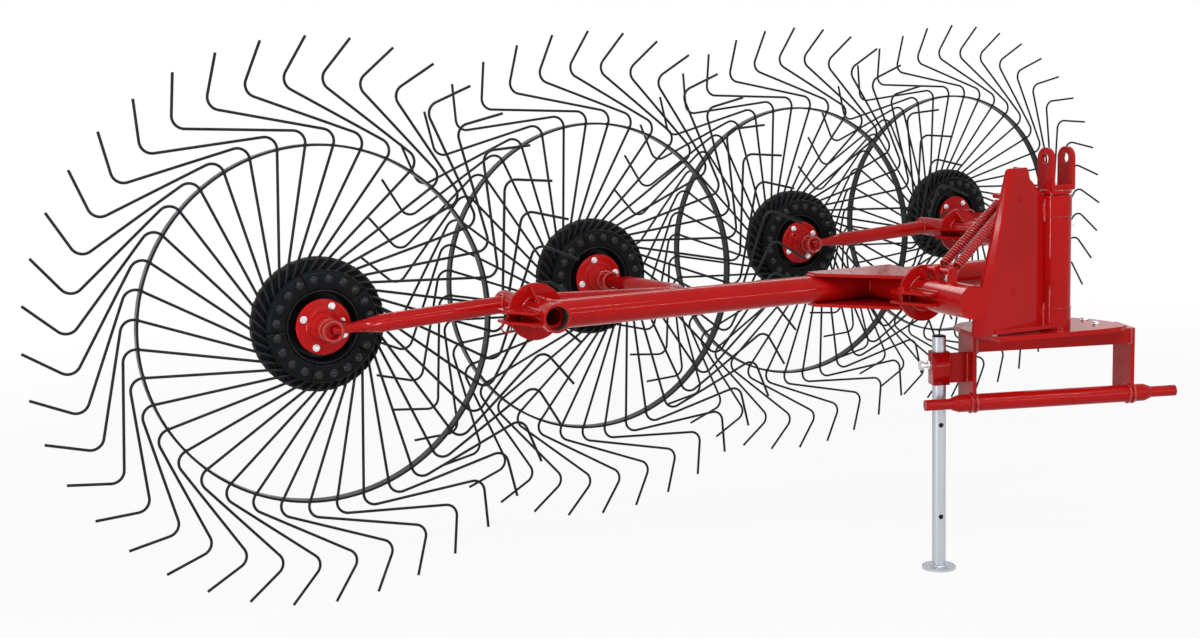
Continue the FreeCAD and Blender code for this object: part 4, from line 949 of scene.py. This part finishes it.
def box_between(shape, low, high):
    """Block with rounded edges between two corners."""
    block = bmesh.new()
    block.faces.new([block.verts.new(Vector((x, y, low.z))) for x, y in
                     ((low.x, low.y), (high.x, low.y), (high.x, high.y), (low.x, high.y))])
    thicken(block, Vector((0, 0, high.z - low.z)))
    bevel_sharp(block, 0.0015)
    merge(shape, block)


SWAP_YZ = Matrix(((1, 0, 0, 0), (0, 0, 1, 0), (0, 1, 0, 0), (0, 0, 0, 1)))
# sheet of painted shade under the swivel plate's slot, in place of the shaded floor seen through it
SHADE_SHEET_INNER, SHADE_SHEET_OUTER = 0.174, 0.207
SHADE_SHEET_FROM, SHADE_SHEET_TO, SHADE_SHEET_STEPS = 128, 208, 20    # degrees about the mast post, and steps
SHADE_SHEET_GAP, SHADE_SHEET_THICKNESS = 0.0002, 0.0012


def swing_guard():
    """Thin red sheet under the curved slot of the swivel plate, put there as painted shade: it hides
    the white floor that would show through the slot.
    """
    shape = bmesh.new()
    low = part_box("swivel_plate")[0].z + SHADE_SHEET_GAP
    high = low + SHADE_SHEET_THICKNESS
    corners = [(SHADE_SHEET_INNER, low), (SHADE_SHEET_OUTER, low), (SHADE_SHEET_OUTER, high), (SHADE_SHEET_INNER, high)]
    arc_block(shape, corners, SHADE_SHEET_FROM, SHADE_SHEET_TO, SHADE_SHEET_STEPS, smooth=False)
    red_piece("swing_guard", shape, "headstock", place=HEAD @ SWAP_YZ)


def stand_collar():
    """Short square tube round the stand leg, on a tab of the left upright."""
    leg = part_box("stand_leg")
    centre = (leg[0] + leg[1]) / 2 - POST
    low, high = (corner.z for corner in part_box("stand_collar"))
    bore = (leg[1].x - leg[0].x) / 2 + COLLAR_PLAY
    outline, hole = [], []
    for k in range(COLLAR_POINTS):
        turn = 2 * math.pi * k / COLLAR_POINTS
        c, s = math.cos(turn), math.sin(turn)
        reach = COLLAR_HALF / (abs(c) ** 10 + abs(s) ** 10) ** 0.1
        outline.append((reach * c, reach * s))
        hole.append((bore * c, bore * s))
    shape = bmesh.new()
    rows = [[shape.verts.new(Vector((centre.x + x, centre.y + y, z))) for x, y in line]
            for line, z in ((outline, low), (outline, high), (hole, high), (hole, low))]
    for row, following in zip(rows, rows[1:] + rows[:1]):
        skin(shape, row, following)
    face = centre.x + COLLAR_HALF
    box_between(shape, Vector((face - 0.0015, COLLAR_TAB_Y - COLLAR_TAB_HALF, low + 0.004)),
                Vector((0.0002 - FRAME_OUTER, COLLAR_TAB_Y + COLLAR_TAB_HALF, high - 0.004)))
    for side in (-1, 1):
        y = COLLAR_TAB_Y + side * (COLLAR_TAB_HALF + 0.0005)
        bead(shape, [(face + 0.0007, y, low + 0.008), (face + 0.0007, y, high - 0.008)], 0.007)
    red_piece("stand_collar_tube", shape, "headstock", replaces=("stand_collar",), place=HEAD)


def clamp_bolt_nut():
    """Locknut of the clamp bolt, against the stand collar."""
    shape = bmesh.new()
    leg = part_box("stand_leg")
    centre = (leg[0] + leg[1]) / 2 - POST
    lathe(shape, mm((7.1, 0), (12, 0), (12, 6), (11, 7.5), (7.1, 7.5)),
          facing((centre.x - COLLAR_HALF - 0.0001, centre.y, CLAMP_BOLT_Z), (-1, 0, 0)), 6,
          closed=True, smooth=False)
    finish_piece("clamp_bolt_nut", shape, "headstock", ("zinc",), place=HEAD)


def stand_details():
    """Plug in the top of the stand leg and the weld round its foot."""
    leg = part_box("stand_leg")
    centre = (leg[0] + leg[1]) / 2
    shape = bmesh.new()
    bead(shape, circle((centre.x, centre.y, 0.0072), FACE_UP, 0.0185), 0.006, True)
    finish_piece("stand_foot_weld", shape, "stand", ("galvanised",))
    shape = bmesh.new()
    top = soften(mm((0, 4), (14, 3.4), (17, 1.6), (17.3, 0), (13.2, 0), (13.2, -8), (0, -8)),
                 0.001, False)
    lathe(shape, top, Matrix.Translation((centre.x, centre.y, leg[1].z)), 40)
    finish_piece("stand_leg_plug", shape, "stand", ("tyre rubber",))


# ---------------------------------------------------------------- stage
SENSOR_WIDTH, LENS = 36.0, 51.0      # in millimetres
CAMERA_TURN, CAMERA_DIP, CAMERA_ROLL = 0.1442, 0.155, 0.0304
CAMERA_FROM_POST = Vector((-1.740, -4.017, 1.339))
WHITE = (1, 1, 1, 1)
AMBIENT = 0.30                       # grey light from all round
FLOOR_RADIUS = 60.0
FLOOR_DROP = 0.001                   # floor below the wheels, so that they don't touch it
FLOOR_NEAR, FLOOR_FAR = 2.0, 4.6     # the floor fades to white between these
FLOOR_WHITE = 0.92                   # share of white near the rake, where seen directly
# name, place, point it shines at, width, height and power
LAMPS = (
    ("overhead_strip", (-0.5, -4.0, 4.2), (-0.3, -0.2, 0.7), 7.0, 0.12, 160.0),
    ("rear_strip", (-0.3, 3.4, 4.4), (-0.2, 0.2, 0.7), 7.0, 0.4, 85.0),
    ("left_strip", (-2.9, -2.9, 0.75), (0.66, -1.04, 0.7), 0.14, 1.4, 30.0),
    ("front_strip", (2.4, -4.3, 1.2), (1.4, -0.83, 0.8), 3.6, 0.07, 30.0),
)


def camera():
    """Camera in front of the folded gang."""
    data = bpy.data.cameras.new("rake_camera")
    data.sensor_width, data.lens, data.clip_end = SENSOR_WIDTH, LENS, 200.0
    ahead = Vector((math.sin(CAMERA_TURN) * math.cos(CAMERA_DIP),
                    math.cos(CAMERA_TURN) * math.cos(CAMERA_DIP), -math.sin(CAMERA_DIP)))
    right = Vector((math.cos(CAMERA_TURN), -math.sin(CAMERA_TURN), 0))
    down = ahead.cross(right)
    turned = math.cos(CAMERA_ROLL) * right + math.sin(CAMERA_ROLL) * down
    dropped = -math.sin(CAMERA_ROLL) * right + math.cos(CAMERA_ROLL) * down
    place = Matrix((turned, -dropped, -ahead)).transposed().to_4x4()
    place.translation = POST + CAMERA_FROM_POST
    holder = bpy.data.objects.new("rake_camera", data)
    holder.matrix_world = place
    bpy.context.scene.collection.objects.link(holder)
    bpy.context.scene.camera = holder


def strip_lamp(name, place, aim, width, height, power):
    """Long lamp that shines at a point."""
    data = bpy.data.lights.new(name, "AREA")
    data.shape = "RECTANGLE"
    data.size, data.size_y, data.energy = width, height, power
    lamp = bpy.data.objects.new(name, data)
    lamp.matrix_world = facing(place, Vector(place) - Vector(aim))
    bpy.context.scene.collection.objects.link(lamp)


def seen_directly(tree):
    """Node that gives one for rays from the camera or off glossy and clear surfaces."""
    path = add_node(tree, "LightPath")
    first = add_node(tree, "Math", operation="MAXIMUM")
    total = add_node(tree, "Math", operation="MAXIMUM")
    join(tree, (path, "Is Camera Ray", first, 0), (path, "Is Glossy Ray", first, 1),
         (first, 0, total, 0), (path, "Is Transmission Ray", total, 1))
    return total


def floor():
    """Pale floor that fades into the white background."""
    material = bpy.data.materials.new("studio floor")
    material.use_nodes = True
    tree = material.node_tree
    shader = tree.nodes["Principled BSDF"]
    set_values(shader, {"Base Color": tuple(colours().floor) + (1.0,), "Roughness": 0.9,
                        "Specular IOR Level": 0.0})
    white = add_node(tree, "Emission")
    where = add_node(tree, "TexCoord")
    distance = add_node(tree, "VectorMath", operation="LENGTH")
    fade = add_node(tree, "MapRange", {"From Min": FLOOR_NEAR, "From Max": FLOOR_FAR,
                                       "To Min": FLOOR_WHITE}, interpolation_type="SMOOTHSTEP")
    both = add_node(tree, "Math", operation="MULTIPLY")
    mix = add_node(tree, "MixShader")
    join(tree, (where, "Object", distance, 0), (distance, "Value", fade, "Value"),
         (fade, "Result", both, 0), (seen_directly(tree), 0, both, 1), (both, 0, mix, "Fac"),
         (shader, "BSDF", mix, 1), (white, "Emission", mix, 2),
         (mix, "Shader", tree.nodes["Material Output"], "Surface"))
    shape = bmesh.new()
    lathe(shape, [(0, 0), (3, 0), (8, 0), (FLOOR_RADIUS, 0)], Matrix.Identity(4), 96)
    bmesh.ops.recalc_face_normals(shape, faces=shape.faces)
    mesh = bpy.data.meshes.new("studio_floor")
    shape.to_mesh(mesh)
    shape.free()
    mesh.materials.append(material)
    ground = bpy.data.objects.new("studio_floor", mesh)
    ground.location.z = -FLOOR_DROP
    bpy.context.scene.collection.objects.link(ground)


def world():
    """White for what the camera and the metal see, a soft grey for the rest of the light."""
    sky = bpy.data.worlds.new("studio")
    sky.use_nodes = True
    tree = sky.node_tree
    soft = tree.nodes["Background"]
    set_values(soft, {"Color": WHITE, "Strength": AMBIENT})
    white = add_node(tree, "Background", {"Color": WHITE})
    mix = add_node(tree, "MixShader")
    join(tree, (seen_directly(tree), 0, mix, "Fac"), (soft, "Background", mix, 1),
         (white, "Background", mix, 2), (mix, "Shader", tree.nodes["World Output"], "Surface"))
    bpy.context.scene.world = sky


# ---------------------------------------------------------------- operators
class HAYRAKE_OT_paint(bpy.types.Operator):
    """Paint the pieces that keep their CAD shape"""
    bl_idname = "hayrake.paint"
    bl_label = "Paint frame"

    def execute(self, context):
        special = {"stand_leg": "galvanised", "stand_foot": "galvanised",
                   "stand_clamp_bolt": "zinc", "swing_lock_pin": "zinc"}
        for name in NODES:
            usual = "tine steel" if name.endswith(("_tines", "_ring")) else "red enamel"
            paint(name, special.get(name, usual))
        return {"FINISHED"}


class HAYRAKE_OT_wheels(bpy.types.Operator):
    """Build the rubber centres and hubs of the four wheels"""
    bl_idname = "hayrake.wheels"
    bl_label = "Wheel centres"

    def execute(self, context):
        for number in WHEEL_NUMBERS:
            wheel_centre(number)
            hub(number)
        return {"FINISHED"}


class HAYRAKE_OT_wheel_bolts(bpy.types.Operator):
    """Add the bolts, nipples, ring welds and axle nuts of the four wheels"""
    bl_idname = "hayrake.wheel_bolts"
    bl_label = "Wheel bolts"

    def execute(self, context):
        for number in WHEEL_NUMBERS:
            clamp_bolts(number)
            hub_bolts(number)
            ring_welds(number)
            axle_end(number)
        return {"FINISHED"}


class HAYRAKE_OT_welds(bpy.types.Operator):
    """Lay the weld beads of the beam, rockers, tower and headstock"""
    bl_idname = "hayrake.welds"
    bl_label = "Welds"

    def execute(self, context):
        beam_welds()
        rocker_welds("front", FRONT_X, FRONT_DISC)
        rocker_welds("rear", REAR_X, REAR_DISC)
        for number in WHEEL_NUMBERS:
            stub_welds(number)
        tower_welds()
        headstock_welds()
        return {"FINISHED"}


class HAYRAKE_OT_tower(bpy.types.Operator):
    """Build the tower's plates, its float arm and the lift springs"""
    bl_idname = "hayrake.tower"
    bl_label = "Tower and springs"

    def execute(self, context):
        tower_front()
        tower_rear()
        float_arm()
        float_pin()
        spring_bar()
        lift_spring("front_lift_spring", -0.024, 0.010)
        lift_spring("rear_lift_spring", 0.032, 0.048)
        tower_hardware()
        return {"FINISHED"}


class HAYRAKE_OT_small_parts(bpy.types.Operator):
    """Add liners, plugs, clips, bolts and the stand's collar"""
    bl_idname = "hayrake.small_parts"
    bl_label = "Small parts"

    def execute(self, context):
        sleeve_liners()
        shaft_plugs()
        lug_clip()
        plate_bolts()
        pin_cones()
        # painted shade: a sheet under the swivel plate's slot
        swing_guard()
        stand_collar()
        clamp_bolt_nut()
        stand_details()
        return {"FINISHED"}


class HAYRAKE_OT_stage(bpy.types.Operator):
    """Set up the floor, the lamps and the camera"""
    bl_idname = "hayrake.stage"
    bl_label = "Stage"

    def execute(self, context):
        floor()
        world()
        for lamp in LAMPS:
            strip_lamp(*lamp)
        camera()
        bpy.context.scene.view_settings.view_transform = "Standard"
        return {"FINISHED"}


OPERATORS = (HAYRAKE_OT_paint, HAYRAKE_OT_wheels, HAYRAKE_OT_wheel_bolts, HAYRAKE_OT_welds,
             HAYRAKE_OT_tower, HAYRAKE_OT_small_parts, HAYRAKE_OT_stage)


class HAYRAKE_PT_panel(bpy.types.Panel):
    """Lists the steps of the finish, in order"""
    bl_idname = "HAYRAKE_PT_panel"
    bl_label = "Hay Rake"
    bl_space_type = "VIEW_3D"
    bl_region_type = "UI"
    bl_category = "Hay Rake"

    def draw(self, context):
        column = self.layout.column()
        for group in (context.scene.hay_rake_colours, context.scene.hay_rake_sizes):
            for name in group.__annotations__:
                column.prop(group, name)
        for operator in OPERATORS:
            column.operator(operator.bl_idname)


CLASSES = (HayRakeColours, HayRakeSizes) + OPERATORS + (HAYRAKE_PT_panel,)


def register():
    for item in CLASSES:
        bpy.utils.register_class(item)
    bpy.types.Scene.hay_rake_colours = bpy.props.PointerProperty(type=HayRakeColours)
    bpy.types.Scene.hay_rake_sizes = bpy.props.PointerProperty(type=HayRakeSizes)


def unregister():
    del bpy.types.Scene.hay_rake_colours
    del bpy.types.Scene.hay_rake_sizes
    for item in reversed(CLASSES):
        bpy.utils.unregister_class(item)


def main():
    """Run every step in order."""
    register()
    for operator in OPERATORS:
        step = getattr(bpy.ops.hayrake, operator.bl_idname.split(".")[1])
        step()


if __name__ == "__main__":
    main()
